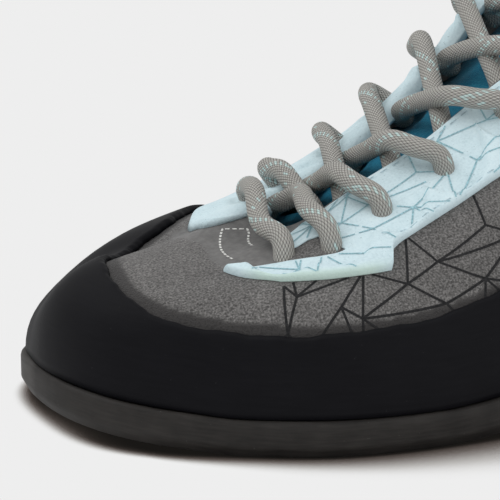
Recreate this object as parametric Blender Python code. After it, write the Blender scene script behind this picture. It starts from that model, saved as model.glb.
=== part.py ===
"""A left climbing shoe that laces nearly to the toe.

The toe points to -X, the outer side of the foot to -Y, and the shoe stands on the floor at z = 0.
Every soft piece follows one surface, the outside of the upper. A place on it is (round, up): round
counts the rows of UPPER_ROWS, from the toe along the outer side to the heel and back along the inner
side, and up runs from 0 at the sole to 1 at the edge of the throat and the collar.
"""
import bpy
import bmesh
import numpy as np

# Sizes in metres
LENGTH = 0.240
BALL_WIDTH = 0.080
INSTEP_HEIGHT = 0.0825
HEEL_HEIGHT = 0.082
TOE_SPRING = 0.0042
ARCH_RISE = 0.0046
SOLE = 0.0064
SOLE_BEVEL = 0.0011
SOLE_LEDGE = 0.0008
WALL = 0.0018
RAND = 0.0014
FACING_WIDTH = 0.0180
FACING = 0.0015
FACING_PAD = 0.0032
FACING_PINCH = 0.0016
TONGUE = 0.0022
TONGUE_OVERLAP = 0.0100
TONGUE_RISE = 0.0180
TONGUE_SINK = 0.0026
INSOLE = 0.0024
LACE = 0.0038
LACE_CLEAR = 0.0005
LACE_BOW = 0.0026
GAP = 0.0003

# How far the vamp's handles turn to the foot line, of LENGTH; how far the tongue bows, of its width;
# how much narrower its end is; how far apart two pressed strands' middles are, and how far a strand
# starts below the top line, of LACE.
HANDLE_TURN = 0.058
TONGUE_BOW = 0.15
TONGUE_NARROW = 0.25
LACE_PRESS = 0.60
LACE_SINK = 0.40

# The foot line is where the upper meets the sole, and the top line is the edge of the throat and the
# collar. Along is a share of LENGTH from the toe, and across a share of BALL_WIDTH to the inner side.
# The top line's height is a share of INSTEP_HEIGHT plus a share of HEEL_HEIGHT. The wall leaves the
# sole leaning out by bulge (of BALL_WIDTH) over rise (of INSTEP_HEIGHT), and reaches the top line
# from lead (of LENGTH) outside it and drop (of INSTEP_HEIGHT) below it.
UPPER_ROWS = (
    # foot along, across, top along, across, of instep, of heel, bulge, rise, lead, drop
    (0.023, 0.060, 0.202, 0.031, 0.415, 0.000, 0.005, 0.240, 0.133, 0.098),  # toe
    (0.024, -0.100, 0.203, -0.006, 0.400, 0.000, 0.010, 0.267, 0.135, 0.087),
    (0.053, -0.247, 0.206, -0.038, 0.390, 0.000, 0.015, 0.276, 0.121, 0.075),
    (0.110, -0.375, 0.219, -0.066, 0.410, 0.000, 0.025, 0.280, 0.106, 0.064),
    (0.172, -0.481, 0.250, -0.103, 0.471, 0.000, 0.031, 0.267, 0.089, 0.085),
    (0.269, -0.529, 0.305, -0.130, 0.560, 0.000, 0.037, 0.224, 0.076, 0.100),  # outer ball
    (0.376, -0.505, 0.378, -0.140, 0.690, 0.000, 0.044, 0.230, 0.058, 0.121),
    (0.492, -0.394, 0.468, -0.160, 0.842, 0.000, 0.050, 0.267, 0.046, 0.170),  # outer waist
    (0.608, -0.325, 0.569, -0.200, 0.983, 0.000, 0.056, 0.291, 0.033, 0.218),
    (0.725, -0.312, 0.679, -0.312, 0.479, 0.482, 0.062, 0.291, 0.013, 0.242),  # outer ankle
    (0.846, -0.312, 0.808, -0.350, 0.000, 0.805, 0.075, 0.267, 0.004, 0.218),
    (0.942, -0.225, 0.921, -0.250, 0.000, 0.878, 0.075, 0.315, -0.004, 0.242),
    (0.988, 0.000, 0.971, 0.000, 0.000, 1.000, 0.069, 0.364, -0.013, 0.291),  # heel
    (0.942, 0.212, 0.921, 0.237, 0.000, 0.902, 0.075, 0.315, -0.004, 0.242),
    (0.850, 0.287, 0.808, 0.338, 0.000, 0.829, 0.075, 0.267, 0.004, 0.218),
    (0.733, 0.275, 0.679, 0.300, 0.485, 0.488, 0.075, 0.291, 0.013, 0.242),  # inner ankle
    (0.617, 0.244, 0.568, 0.220, 1.000, 0.000, 0.087, 0.291, 0.033, 0.218),
    (0.500, 0.275, 0.466, 0.204, 0.890, 0.000, 0.087, 0.291, 0.050, 0.170),  # arch
    (0.383, 0.388, 0.378, 0.172, 0.676, 0.000, 0.062, 0.267, 0.062, 0.127),
    (0.275, 0.463, 0.305, 0.163, 0.506, 0.000, 0.037, 0.238, 0.078, 0.100),  # inner ball
    (0.175, 0.456, 0.248, 0.140, 0.432, 0.000, 0.025, 0.276, 0.090, 0.105),
    (0.101, 0.398, 0.217, 0.118, 0.418, 0.000, 0.015, 0.236, 0.097, 0.103),
    (0.056, 0.310, 0.203, 0.091, 0.412, 0.000, 0.005, 0.170, 0.093, 0.128),
    (0.033, 0.198, 0.202, 0.062, 0.415, 0.000, 0.003, 0.170, 0.102, 0.112),
)
ROUND = len(UPPER_ROWS)

# The sole's underside over the floor: along as a share of LENGTH, then shares of both lifts.
SOLE_ROWS = (
    # along, of TOE_SPRING, of ARCH_RISE
    (0.000, 1.00, 0.00),
    (0.035, 0.55, 0.00),
    (0.070, 0.24, 0.00),
    (0.108, 0.00, 0.00),
    (0.235, 0.00, 0.00),
    (0.335, 0.00, 0.44),
    (0.435, 0.00, 0.88),
    (0.550, 0.00, 1.00),
    (0.665, 0.00, 0.74),
    (0.760, 0.00, 0.18),
    (0.815, 0.00, 0.00),
    (0.940, 0.00, 0.00),
    (1.000, 0.24, 0.00),
)

# How far up the wall the rand reaches: high over the big toe, low along the outer side.
RAND_ROWS = (
    0.55, 0.46, 0.315, 0.265, 0.265, 0.33, 0.35, 0.28, 0.20, 0.21, 0.30, 0.40,
    0.42, 0.40, 0.30, 0.22, 0.21, 0.25, 0.33, 0.44, 0.60, 0.72, 0.66, 0.60,
)

# Each eyelet band from its toe end back: round, then how far its edges lie down from the top line, as
# shares of FACING_WIDTH. The outer band forks round a window, and steps in behind the fork.
OUTER_FACING_ROWS = (
    # round, top edge, window top, window base, lower edge
    (2.36, 1.29, 1.30, 1.30, 1.31),
    (2.50, 1.17, 1.24, 1.24, 1.39),
    (2.62, 1.08, 1.20, 1.20, 1.42),
    (2.76, 0.60, 1.00, 1.00, 1.44),
    (2.95, 0.29, 0.98, 0.98, 1.47),
    (3.10, 0.23, 1.05, 1.05, 1.50),
    (3.22, 0.20, 0.94, 1.15, 1.53),
    (3.45, 0.15, 0.83, 1.19, 1.55),
    (3.62, 0.12, 0.82, 1.20, 1.56),
    (3.80, 0.10, 0.97, 1.20, 1.57),
    (3.96, 0.08, 1.17, 1.17, 1.57),
    (4.15, 0.05, 0.85, 0.85, 1.57),
    (4.38, 0.04, 0.80, 0.80, 1.57),
    (4.42, 0.04, 0.76, 0.76, 1.32),
    (4.60, 0.04, 0.72, 0.72, 1.21),
    (5.05, 0.04, 0.60, 0.60, 1.07),
    (5.50, 0.04, 0.55, 0.55, 1.00),
    (6.20, 0.04, 0.50, 0.50, 0.97),
    (7.20, 0.04, 0.50, 0.50, 0.95),
    (8.25, 0.04, 0.50, 0.50, 0.92),
)
INNER_FACING_ROWS = (
    # round, top edge, lower edge
    (24.85, 0.12, 0.17),
    (24.60, 0.05, 0.33),
    (24.42, 0.04, 0.56),
    (24.20, 0.04, 0.68),
    (23.60, 0.04, 0.72),
    (22.60, 0.04, 0.72),
    (21.60, 0.04, 0.74),
    (20.40, 0.04, 0.82),
    (19.20, 0.04, 0.88),
    (18.00, 0.04, 0.92),
    (17.00, 0.04, 0.94),
    (15.75, 0.04, 0.92),
)

# The lace crosses the throat seven times above the first bar. At each crossing one strand comes up by
# the inner edge and goes over the outer edge to an outer eyelet. The other comes from an inner eyelet,
# goes over the inner edge and down by the outer edge, under the first.
FIRST_BAR = (1.80, 3.08, 1.27, 21.60, 21.20)
INNER_EYELET_DOWN = 0.42
CROSSING_ROWS = (
    # rounds of: up by inner edge, over outer edge, outer eyelet, its share down, over inner edge,
    # inner eyelet, down by outer edge
    (20.95, 3.14, 3.76, 1.22, 20.10, 19.72, 3.33),
    (19.90, 3.90, 4.38, 0.95, 19.20, 18.86, 3.92),
    (19.20, 4.71, 5.11, 0.75, 18.57, 18.27, 4.69),
    (18.44, 5.50, 5.85, 0.60, 17.89, 17.76, 5.35),
    (17.88, 6.23, 6.50, 0.56, 17.41, 17.30, 6.00),
    (17.32, 6.80, 7.08, 0.55, 16.86, 16.76, 6.60),
    (16.75, 7.38, 7.66, 0.55, 16.31, 16.22, 7.20),
)


def rise_between(rows, places):
    """Heights at the places along rows of (place, height): a cubic that keeps each rise one way."""
    place, height = np.array(rows).T
    slope = np.diff(height) / np.diff(place)
    same_way = slope[:-1] * slope[1:] > 0
    sums = np.where(same_way, slope[:-1] + slope[1:], 1)
    inner = np.where(same_way, 2 * slope[:-1] * slope[1:] / sums, 0)
    slopes = np.concatenate([slope[:1], inner, slope[-1:]])
    at = np.clip(np.searchsorted(place, places) - 1, 0, len(place) - 2)
    step = place[at + 1] - place[at]
    s = np.clip((places - place[at]) / step, 0, 1)
    return (
        (2 * s**3 - 3 * s**2 + 1) * height[at]
        + (s**3 - 2 * s**2 + s) * step * slopes[at]
        + (3 * s**2 - 2 * s**3) * height[at + 1]
        + (s**3 - s**2) * step * slopes[at + 1]
    )


def round_spline(rows):
    """The smooth closed cubic through rows that stand one apart: a function of round."""
    values = np.array(rows, dtype=float)
    count = len(values)
    system = 4 * np.eye(count) + np.roll(np.eye(count), 1, 0) + np.roll(np.eye(count), -1, 0)
    slopes = np.linalg.solve(system, 3 * (np.roll(values, -1, 0) - np.roll(values, 1, 0)))

    def read(places):
        places = np.mod(places, count)
        at = np.floor(places).astype(int) % count
        after = (at + 1) % count
        s = (places - np.floor(places)).reshape(np.shape(places) + (1,) * (values.ndim - 1))
        return (
            (2 * s**3 - 3 * s**2 + 1) * values[at]
            + (s**3 - 2 * s**2 + s) * slopes[at]
            + (3 * s**2 - 2 * s**3) * values[after]
            + (s**3 - s**2) * slopes[after]
        )

    return read


def unit(vectors):
    return vectors / np.linalg.norm(vectors, axis=-1, keepdims=True)


def sizes_of_rows():
    """The rows in metres: foot x, y, top x, y, z, bulge, rise, lead, drop."""
    share = np.array(UPPER_ROWS)
    top = share[:, 4] * INSTEP_HEIGHT + share[:, 5] * HEEL_HEIGHT
    scale = np.array([LENGTH, BALL_WIDTH, LENGTH, BALL_WIDTH])
    handles = share[:, 6:] * np.array([BALL_WIDTH, INSTEP_HEIGHT, LENGTH, INSTEP_HEIGHT])
    return np.column_stack([share[:, :4] * scale, top, handles])


row_at = round_spline(sizes_of_rows())
rand_reach = round_spline(RAND_ROWS)


def underside(x):
    """Height of the sole's underside over the floor."""
    rows = [(along * LENGTH, toe * TOE_SPRING + arch * ARCH_RISE) for along, toe, arch in SOLE_ROWS]
    return rise_between(rows, x)


def away_from_foot_line(places):
    """Level directions square to the foot line, pointing out of the shoe."""
    step = 0.001
    along = row_at(places + step)[..., :2] - row_at(places - step)[..., :2]
    return unit(np.stack([along[..., 1], -along[..., 0]], axis=-1))


def surface(places, up):
    """The upper's outside: at each place a Bezier curve from the foot line to the top line."""
    places, up = np.broadcast_arrays(np.asarray(places, float), np.asarray(up, float))
    row = row_at(places)
    out = away_from_foot_line(places)
    seat = underside(row[..., 0]) + SOLE + GAP
    foot = np.concatenate([row[..., :2], seat[..., None]], axis=-1)
    top = row[..., 2:5]
    reach = foot[..., :2] - top[..., :2]
    span = np.linalg.norm(reach, axis=-1, keepdims=True)
    blend = np.clip(span / (LENGTH * HANDLE_TURN), 0, 1)
    blend = blend * blend * (3 - 2 * blend)
    toward_foot = unit(reach / np.maximum(span, GAP) * blend + out * (1 - blend))
    near_foot = foot + np.concatenate([out * row[..., 5:6], row[..., 6:7]], axis=-1)
    near_top = top + np.concatenate([toward_foot * row[..., 7:8], -row[..., 8:9]], axis=-1)
    s = up[..., None]
    return (
        (1 - s) ** 3 * foot
        + 3 * (1 - s) ** 2 * s * near_foot
        + 3 * (1 - s) * s**2 * near_top
        + s**3 * top
    )


def outward(places, up):
    """The surface's outward directions."""
    step = 0.004
    high = np.clip(up + step, 0, 1)
    low = np.clip(up - step, 0, 1)
    round_way = surface(places + step, up) - surface(places - step, up)
    up_way = surface(places, high) - surface(places, low)
    return unit(np.cross(round_way, up_way))


def lifted(places, up, offset):
    """Points at a distance off the surface, kept over the sole where they lie outside it."""
    places, up, offset = np.broadcast_arrays(places, up, offset)
    points = surface(places, up) + outward(places, up) * offset[..., None]
    floor = underside(points[..., 0]) + SOLE + GAP
    points[..., 2] = np.maximum(points[..., 2], floor)
    return points


def up_at_distance(places, distance):
    """The up value at a distance down the surface from the top line."""
    ups = np.linspace(1, 0, 61)
    result = []
    for place, wanted in zip(np.ravel(places), np.ravel(distance)):
        line = surface(np.full(61, place), ups)
        run = np.concatenate([[0], np.cumsum(np.linalg.norm(np.diff(line, axis=0), axis=1))])
        result.append(np.interp(wanted, run, ups))
    return np.reshape(result, np.shape(places))


def outline(places, offset):
    """The foot line moved level outwards by an offset."""
    return row_at(places)[..., :2] + away_from_foot_line(places) * offset


SOLE_OFFSET = GAP + RAND + SOLE_LEDGE
EDGE = outline(np.linspace(0, ROUND, 20 * ROUND, endpoint=False), SOLE_OFFSET)
CENTRE = np.append((EDGE.max(axis=0) + EDGE.min(axis=0)) / 2, 0)


def material(name, colour, roughness):
    """A plain Principled material."""
    made = bpy.data.materials.new(name)
    made.use_nodes = True
    shader = made.node_tree.nodes["Principled BSDF"]
    shader.inputs["Base Color"].default_value = (*colour, 1)
    shader.inputs["Roughness"].default_value = roughness
    return made


def solid(name, points, faces, finish):
    """An object from points and faces, with equal points joined and its faces turned out."""
    mesh = bpy.data.meshes.new(name)
    mesh.from_pydata([tuple(point) for point in np.asarray(points) - CENTRE], [], faces)
    work = bmesh.new()
    work.from_mesh(mesh)
    bmesh.ops.remove_doubles(work, verts=work.verts[:], dist=0.000002)
    bmesh.ops.dissolve_degenerate(work, edges=work.edges[:], dist=0.000002)
    bmesh.ops.recalc_face_normals(work, faces=work.faces[:])
    work.to_mesh(mesh)
    work.free()
    mesh.materials.append(finish)
    mesh.shade_smooth()
    mesh.set_sharp_from_angle(angle=0.7)
    made = bpy.data.objects.new(name, mesh)
    bpy.context.collection.objects.link(made)
    return made


def plate(name, outer, inner, cells, finish):
    """A solid between two point grids over the chosen cells, walled wherever the cells end.

    Every cell is cut along the same diagonal, so that bands on one grid keep their gap.
    """
    rows, columns = outer.shape[:2]
    count = rows * columns
    points = np.concatenate([outer.reshape(-1, 3), inner.reshape(-1, 3)])
    same = {}
    first = [same.setdefault(tuple(np.round(point, 6)), index) for index, point in enumerate(points)]
    faces = []
    rim = {}
    for i, j in cells:
        corners = [
            i % rows * columns + j,
            (i + 1) % rows * columns + j,
            (i + 1) % rows * columns + j + 1,
            i % rows * columns + j + 1,
        ]
        loop = []
        for corner in corners:
            if first[corner] not in [first[used] for used in loop]:
                loop.append(corner)
        if len(loop) < 3:
            continue
        for fan in range(1, len(loop) - 1):
            corners = [loop[0], loop[fan], loop[fan + 1]]
            faces.append(corners)
            faces.append([corner + count for corner in reversed(corners)])
        for start, end in zip(loop, loop[1:] + loop[:1]):
            key = (first[start], first[end])
            if (key[1], key[0]) in rim:
                del rim[(key[1], key[0])]
            else:
                rim[key] = (start, end)
    for start, end in rim.values():
        faces.append([end, start, start + count, end + count])
    return solid(name, points, faces, finish)


def all_cells(rows, columns):
    return [(i, j) for i in range(rows) for j in range(columns)]


def closed_band(name, places, ups, outer_offset, inner_offset, finish):
    """A band all round the shoe between two offsets from the surface."""
    outer = lifted(places[:, None], ups, outer_offset)
    inner = lifted(places[:, None], ups, inner_offset)
    return plate(name, outer, inner, all_cells(len(places), ups.shape[1] - 1), finish)


def level_slab(name, sections, across, edges, finish):
    """A slab that follows the sole's underside, from edge rings of (offset, height), low to high."""
    half = ROUND / 2
    stops = np.linspace(0, half, sections + 1)
    ring = np.concatenate([stops, half + stops[1:-1]])
    faces = []
    rings = []
    for offset, height in edges:
        flat = outline(ring, offset)
        rings.append(np.column_stack([flat, underside(flat[:, 0]) + height]))
    points = list(np.concatenate(rings))
    count = len(ring)
    for level in range(len(edges) - 1):
        for i in range(count):
            j = (i + 1) % count
            low = level * count
            faces.append([low + i, low + j, low + count + j, low + count + i])
    for level, height in ((0, edges[0][1]), (len(edges) - 1, edges[-1][1])):
        base = level * count
        rows = []
        for i in range(sections + 1):
            left = base + i
            right = base + (count - i) % count
            if left == right:
                rows.append([left] * (across + 1))
                continue
            row = [left]
            for share in np.linspace(0, 1, across + 1)[1:-1]:
                flat = points[left][:2] * (1 - share) + points[right][:2] * share
                row.append(len(points))
                points.append(np.append(flat, underside(flat[:1])[0] + height))
            rows.append(row + [right])
        for before, after in zip(rows, rows[1:]):
            for k in range(across):
                corners = [before[k], before[k + 1], after[k + 1], after[k]]
                loop = list(dict.fromkeys(corners))
                if len(loop) > 2:
                    faces.append(loop if level else loop[::-1])
    return solid(name, points, faces, finish)


def smooth_route(points, steps):
    """A smooth curve through the points, with the given number of steps from each to the next."""
    points = np.asarray(points)
    padded = np.concatenate([[2 * points[0] - points[1]], points, [2 * points[-1] - points[-2]]])
    route = []
    for before, start, end, after in zip(padded, padded[1:], padded[2:], padded[3:]):
        for s in np.linspace(0, 1, steps, endpoint=False):
            route.append(
                (2 * s**3 - 3 * s**2 + 1) * start
                + (s**3 - 2 * s**2 + s) * (end - before) / 2
                + (3 * s**2 - 2 * s**3) * end
                + (s**3 - s**2) * (after - start) / 2
            )
    return np.array(route + [points[-1]])


def tube(name, route, diameter, sides, finish):
    """A round rod along a route, each ring square to it and turned as little as can be."""
    heading = unit(np.gradient(route, axis=0))
    side = unit(np.cross(heading[0], (0.3, 0.2, 1.0)))
    points = []
    for place, way in zip(route, heading):
        side = unit(side - way * np.dot(side, way))
        other = np.cross(way, side)
        for turn in np.linspace(0, 2 * np.pi, sides, endpoint=False):
            points.append(place + (side * np.cos(turn) + other * np.sin(turn)) * diameter / 2)
    faces = [list(range(sides)), list(range(len(points) - sides, len(points)))[::-1]]
    for ring in range(len(route) - 1):
        for k in range(sides):
            start = ring * sides + k
            after = ring * sides + (k + 1) % sides
            faces.append([start, start + sides, after + sides, after])
    return solid(name, points, faces, finish)


for old in list(bpy.data.objects):
    bpy.data.objects.remove(old)

suede = material("suede", (0.17, 0.16, 0.155), 0.95)
sole_rubber = material("sole_rubber", (0.023, 0.021, 0.020), 0.6)
rand_rubber = material("rand_rubber", (0.012, 0.012, 0.014), 0.55)
facing_leather = material("facing_leather", (0.60, 0.74, 0.79), 0.7)
tongue_suede = material("tongue_suede", (0.006, 0.17, 0.29), 0.9)
board = material("board", (0.35, 0.33, 0.30), 0.9)
cord = material("cord", (0.30, 0.28, 0.25), 0.8)

# The outsole: a bevelled tread edge below, and a small ledge outside the rand above.
outsole_edges = (
    (SOLE_OFFSET - SOLE_BEVEL, 0),
    (SOLE_OFFSET - SOLE_BEVEL * 0.2, SOLE_BEVEL * 0.7),
    (SOLE_OFFSET, SOLE_BEVEL * 1.6),
    (SOLE_OFFSET, SOLE - SOLE_LEDGE),
    (SOLE_OFFSET - SOLE_LEDGE, SOLE),
)
level_slab("outsole", 42, 4, outsole_edges, sole_rubber)

# The upper: a suede wall from the sole to the throat and the collar, open underneath.
upper_places = np.linspace(0, ROUND, 84, endpoint=False)
rand_top = rand_reach(upper_places)[:, None]
rand_ups = rand_top * np.linspace(0, 1, 5)
above_ups = rand_top + (1 - rand_top) * np.linspace(0, 1, 7)[1:]
closed_band("upper", upper_places, np.hstack([rand_ups, above_ups]), 0.0, -WALL, suede)

# The insole board closes the upper underneath, inside its wall.
insole_edges = (
    (-WALL - 3 * GAP, SOLE + GAP),
    (-WALL - 3 * GAP, SOLE + GAP + INSOLE),
)
level_slab("insole", 36, 3, insole_edges, board)

# The rand: stiff rubber glued round the upper, highest over the toe and the heel.
closed_band("rand", upper_places, rand_ups, GAP + RAND, GAP, rand_rubber)


def between(table, places, column):
    """A column of a facing's table at the places, straight from row to row."""
    rows = sorted((row[0], row[column]) for row in table)
    return np.interp(places, *np.array(rows).T)


# The outer facing: a thin eyelet band whose toe end forks round a window of bare suede.
outer_places = np.unique(np.concatenate([
    np.linspace(OUTER_FACING_ROWS[0][0], OUTER_FACING_ROWS[-1][0], 23),
    [row[0] for row in OUTER_FACING_ROWS],
]))
downs = [between(OUTER_FACING_ROWS, outer_places, column) * FACING_WIDTH for column in (1, 2, 3, 4)]
shut = downs[2] - downs[1] < GAP
middle = (downs[1] + downs[2]) / 2
downs[1] = np.where(shut, middle, downs[1])
downs[2] = np.where(shut, middle, downs[2])
levels = np.stack([downs[0], (downs[0] + downs[1]) / 2, downs[1], downs[2],
                   (downs[2] + downs[3]) / 2, downs[3]], axis=1)
outer_ups = up_at_distance(np.repeat(outer_places[:, None], 6, axis=1), levels)
facing_cells = [(i, j) for i, j in all_cells(len(outer_places) - 1, 5) if j != 2]
plate(
    "facing_lateral",
    lifted(outer_places[:, None], outer_ups, GAP + FACING),
    lifted(outer_places[:, None], outer_ups, GAP),
    facing_cells,
    facing_leather,
)

# The inner facing: the same band, padded into a soft roll that the lace pinches at each eyelet.
pinches = np.array(FIRST_BAR[3:] + tuple(place for row in CROSSING_ROWS for place in row[4:6]))
puffs = np.concatenate([[INNER_FACING_ROWS[4][0]], (pinches[1:-1:2] + pinches[2::2]) / 2])
inner_places = np.unique(np.concatenate([pinches, puffs, [row[0] for row in INNER_FACING_ROWS]]))
pads = sorted([(place, FACING_PINCH) for place in pinches] + [(place, FACING_PAD) for place in puffs])
pad = np.interp(inner_places, *np.array(pads).T)[:, None]
shares = np.linspace(0, 1, 5)
top_down = between(INNER_FACING_ROWS, inner_places, 1) * FACING_WIDTH
base_down = between(INNER_FACING_ROWS, inner_places, 2) * FACING_WIDTH
inner_downs = top_down[:, None] + (base_down - top_down)[:, None] * shares
inner_ups = up_at_distance(np.repeat(inner_places[:, None], 5, axis=1), inner_downs)
roll = FACING + (pad - FACING) * np.sin(np.pi * shares)
plate(
    "facing_medial",
    lifted(inner_places[:, None], inner_ups, GAP + roll),
    lifted(inner_places[:, None], inner_ups, GAP),
    all_cells(len(inner_places) - 1, 4),
    facing_leather,
)


def tongue_section(place, depth, count):
    """A bow across the shoe under the facings, from wall to wall inside the upper."""
    sides = np.array([place, ROUND - place])
    ups = up_at_distance(sides, np.full(2, TONGUE_OVERLAP))
    feet = lifted(sides, ups, -depth)
    rise = lifted(sides, np.minimum(ups + 0.02, 1), -depth) - feet
    pull = unit(rise) * np.linalg.norm(feet[0] - feet[1]) * TONGUE_BOW
    s = np.linspace(0, 1, count)[:, None]
    return (
        (1 - s) ** 3 * feet[0]
        + 3 * (1 - s) ** 2 * s * (feet[0] + pull[0])
        + 3 * (1 - s) * s**2 * (feet[1] + pull[1])
        + s**3 * feet[1]
    )


# The tongue: a bowed flap that lies deeper under the toe end of the throat, and stands up past the
# last eyelets.
tongue_stops = np.linspace(1.0, 8.2, 18)
depths = WALL + 2 * GAP + np.interp(tongue_stops, (1, 5), (TONGUE_SINK, TONGUE_SINK / 4))
tongue_top = [tongue_section(stop, depth, 9) for stop, depth in zip(tongue_stops, depths)]
tongue_low = [tongue_section(stop, depth + TONGUE, 9) for stop, depth in zip(tongue_stops, depths)]
heading = unit(tongue_top[-1][4] - tongue_top[-3][4])
for share in (0.35, 0.7, 1.0):
    narrow = 1 - TONGUE_NARROW * share**2
    for grid in (tongue_top, tongue_low):
        last = grid[len(tongue_stops) - 1]
        middle = last.mean(axis=0)
        grid.append(middle + (last - middle) * narrow + heading * TONGUE_RISE * share)
plate(
    "tongue",
    np.array(tongue_top),
    np.array(tongue_low),
    all_cells(len(tongue_top) - 1, 8),
    tongue_suede,
)


def away_from_top(place):
    """The outward direction just below the top line."""
    return outward(place, np.array(0.98))


def above_throat(place, other_place):
    """The direction square to the throat between two places on the top line."""
    return unit(away_from_top(place) + away_from_top(other_place))


def beside_edge(place, across, lift):
    """A point across the throat from the top line, lifted square to the throat."""
    here = surface(place, 1.0)
    other = surface(ROUND - place, 1.0)
    return here + unit(other - here) * across + above_throat(place, ROUND - place) * lift


def over_edge_of(place, lift):
    """A point that clears the corner of a facing at the top line."""
    up = above_throat(place, ROUND - place)
    return surface(place, 1.0) + unit(up + away_from_top(place)) * lift


def over_facing(place, down_share, lift):
    """A point lifted off the upper where a facing covers it."""
    up = up_at_distance(np.array([place]), np.array([down_share * FACING_WIDTH]))
    return lifted(np.array([place]), up, lift)[0]


def stacked(over, under, up, apart):
    """The over strand's middle moved along up until the strands pass at the given distance."""
    for _ in range(4):
        over_way = smooth_route(over, 8)
        under_way = smooth_route(under, 8)
        between_ways = over_way[:, None] - under_way[None]
        height = between_ways @ up
        level = np.linalg.norm(between_ways - height[..., None] * up, axis=-1)
        nearest = np.unravel_index(level.argmin(), level.shape)
        over[1] = over[1] + up * max(apart - height[nearest], 0)
    return over


# The lace: a bar at the toe end, then crossings whose two strands press into one another.
on_outer = GAP + FACING + LACE_CLEAR + LACE / 2
on_inner = GAP + FACING_PINCH + LACE_CLEAR + LACE / 2
beside = LACE / 2 + LACE_CLEAR
bar_edge, bar_outer, bar_down, bar_over, bar_inner = FIRST_BAR
bar = [
    over_facing(bar_inner, INNER_EYELET_DOWN, on_inner),
    over_edge_of(bar_over, on_inner),
    None,
    over_facing((bar_edge + bar_outer) / 2, bar_down / 2, on_outer),
    over_facing(bar_outer, bar_down, on_outer),
]
bar[2] = (bar[1] + bar[3]) / 2 + np.array([0, 0, LACE_BOW])
tube("lace_bar", smooth_route(bar, 3), LACE, 8, cord)

for number, row in enumerate(CROSSING_ROWS, start=1):
    inner_edge, over_edge, outer_round, outer_down, inner_over, inner_round, outer_edge = row
    up = above_throat(inner_over, outer_edge)
    over = [
        beside_edge(inner_edge, beside, -LACE * LACE_SINK),
        None,
        over_edge_of(over_edge, on_outer),
        over_facing((over_edge + outer_round) / 2, outer_down / 2, on_outer),
        over_facing(outer_round, outer_down, on_outer),
    ]
    under = [
        beside_edge(outer_edge, beside, -LACE * LACE_SINK),
        None,
        over_edge_of(inner_over, on_inner),
        over_facing((inner_over + inner_round) / 2, INNER_EYELET_DOWN / 2, on_inner),
        over_facing(inner_round, INNER_EYELET_DOWN, on_inner),
    ]
    over[1] = (over[0] + over[2]) / 2
    under[1] = (under[0] + under[2]) / 2
    over = stacked(over, under, up, LACE_PRESS * LACE)
    crossing = tube(f"lace_crossing_{number}", smooth_route(over, 2), LACE, 8, cord)
    strand = tube(f"under_strand_{number}", smooth_route(under, 2), LACE, 8, cord)
    strand.hide_render = True
    strand.display_type = "WIRE"
    join = crossing.modifiers.new("join", "BOOLEAN")
    join.operation = "UNION"
    join.object = strand
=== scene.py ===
"""The looks of a left climbing shoe that laces nearly to the toe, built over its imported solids.

The toe points to -X, the outer side of the foot to -Y, and the shoe stands on the floor at z = 0.
Every soft piece follows one surface, the outside of the upper. A place on it is (round, up): round
counts the rows of UPPER_ROWS, from the toe along the outer side to the heel and back along the inner
side, and up runs from 0 at the sole to 1 at the edge of the throat and the collar.
"""

import bmesh
import bpy
import numpy as np
from mathutils import Matrix


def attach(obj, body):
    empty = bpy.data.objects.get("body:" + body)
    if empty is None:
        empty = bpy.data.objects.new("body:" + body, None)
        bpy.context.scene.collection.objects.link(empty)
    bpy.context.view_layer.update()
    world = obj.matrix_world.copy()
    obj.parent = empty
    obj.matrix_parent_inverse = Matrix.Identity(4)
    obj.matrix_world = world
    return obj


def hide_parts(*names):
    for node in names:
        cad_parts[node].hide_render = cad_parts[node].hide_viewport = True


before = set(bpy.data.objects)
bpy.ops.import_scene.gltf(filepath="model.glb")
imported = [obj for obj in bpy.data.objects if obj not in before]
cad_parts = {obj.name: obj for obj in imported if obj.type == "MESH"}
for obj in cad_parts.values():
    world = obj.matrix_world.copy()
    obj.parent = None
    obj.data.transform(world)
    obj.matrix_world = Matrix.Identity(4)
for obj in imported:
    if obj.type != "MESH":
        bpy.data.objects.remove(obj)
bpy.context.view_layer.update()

# The table and the view. The shoe stands on a pale seamless table top, and the camera looks at its
# toe from the outer side, from a little above.
VIEW_TURN = np.radians(-29.481)
VIEW_RISE = np.radians(13.392)
VIEW_DISTANCE = 0.430873
VIEW_AIM = np.array((-0.06594, 0.022447, 0.021758))
VIEW_LENS = 161.54
TABLE_HALF = 4.0
# The painted contact shadow on the table: how far it reaches near the toe, how much more behind it, and where
# and over what run it grows.
CONTACT_NEAR = 0.0038
CONTACT_MORE = 0.0170
CONTACT_FROM = -0.110
CONTACT_RUN = 0.055
PAINTED_SHADOW_SHADES = (
    # how open the place is to the room, and the colour of the painted shadow there
    (0.30, (0.010, 0.009, 0.008)),
    (0.50, (0.030, 0.025, 0.022)),
    (0.64, (0.120, 0.100, 0.090)),
    (0.78, (0.460, 0.445, 0.430)),
    (0.90, (0.790, 0.788, 0.785)),
    (0.97, (0.855, 0.855, 0.855)),
)

view_back = np.array([
    np.sin(VIEW_TURN) * np.cos(VIEW_RISE),
    -np.cos(VIEW_TURN) * np.cos(VIEW_RISE),
    np.sin(VIEW_RISE),
])
view_right = np.array([np.cos(VIEW_TURN), np.sin(VIEW_TURN), 0])
view_up = np.cross(view_back, view_right)
camera = bpy.data.objects.new("camera", bpy.data.cameras.new("camera"))
bpy.context.collection.objects.link(camera)
place = np.eye(4)
place[:3] = np.column_stack([view_right, view_up, view_back, VIEW_AIM + view_back * VIEW_DISTANCE])
camera.matrix_world = Matrix(place)
camera.data.lens = VIEW_LENS
camera.data.sensor_fit = "HORIZONTAL"
camera.data.clip_start = 0.01
bpy.context.scene.camera = camera
bpy.context.scene.view_settings.view_transform = "Standard"


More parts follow.
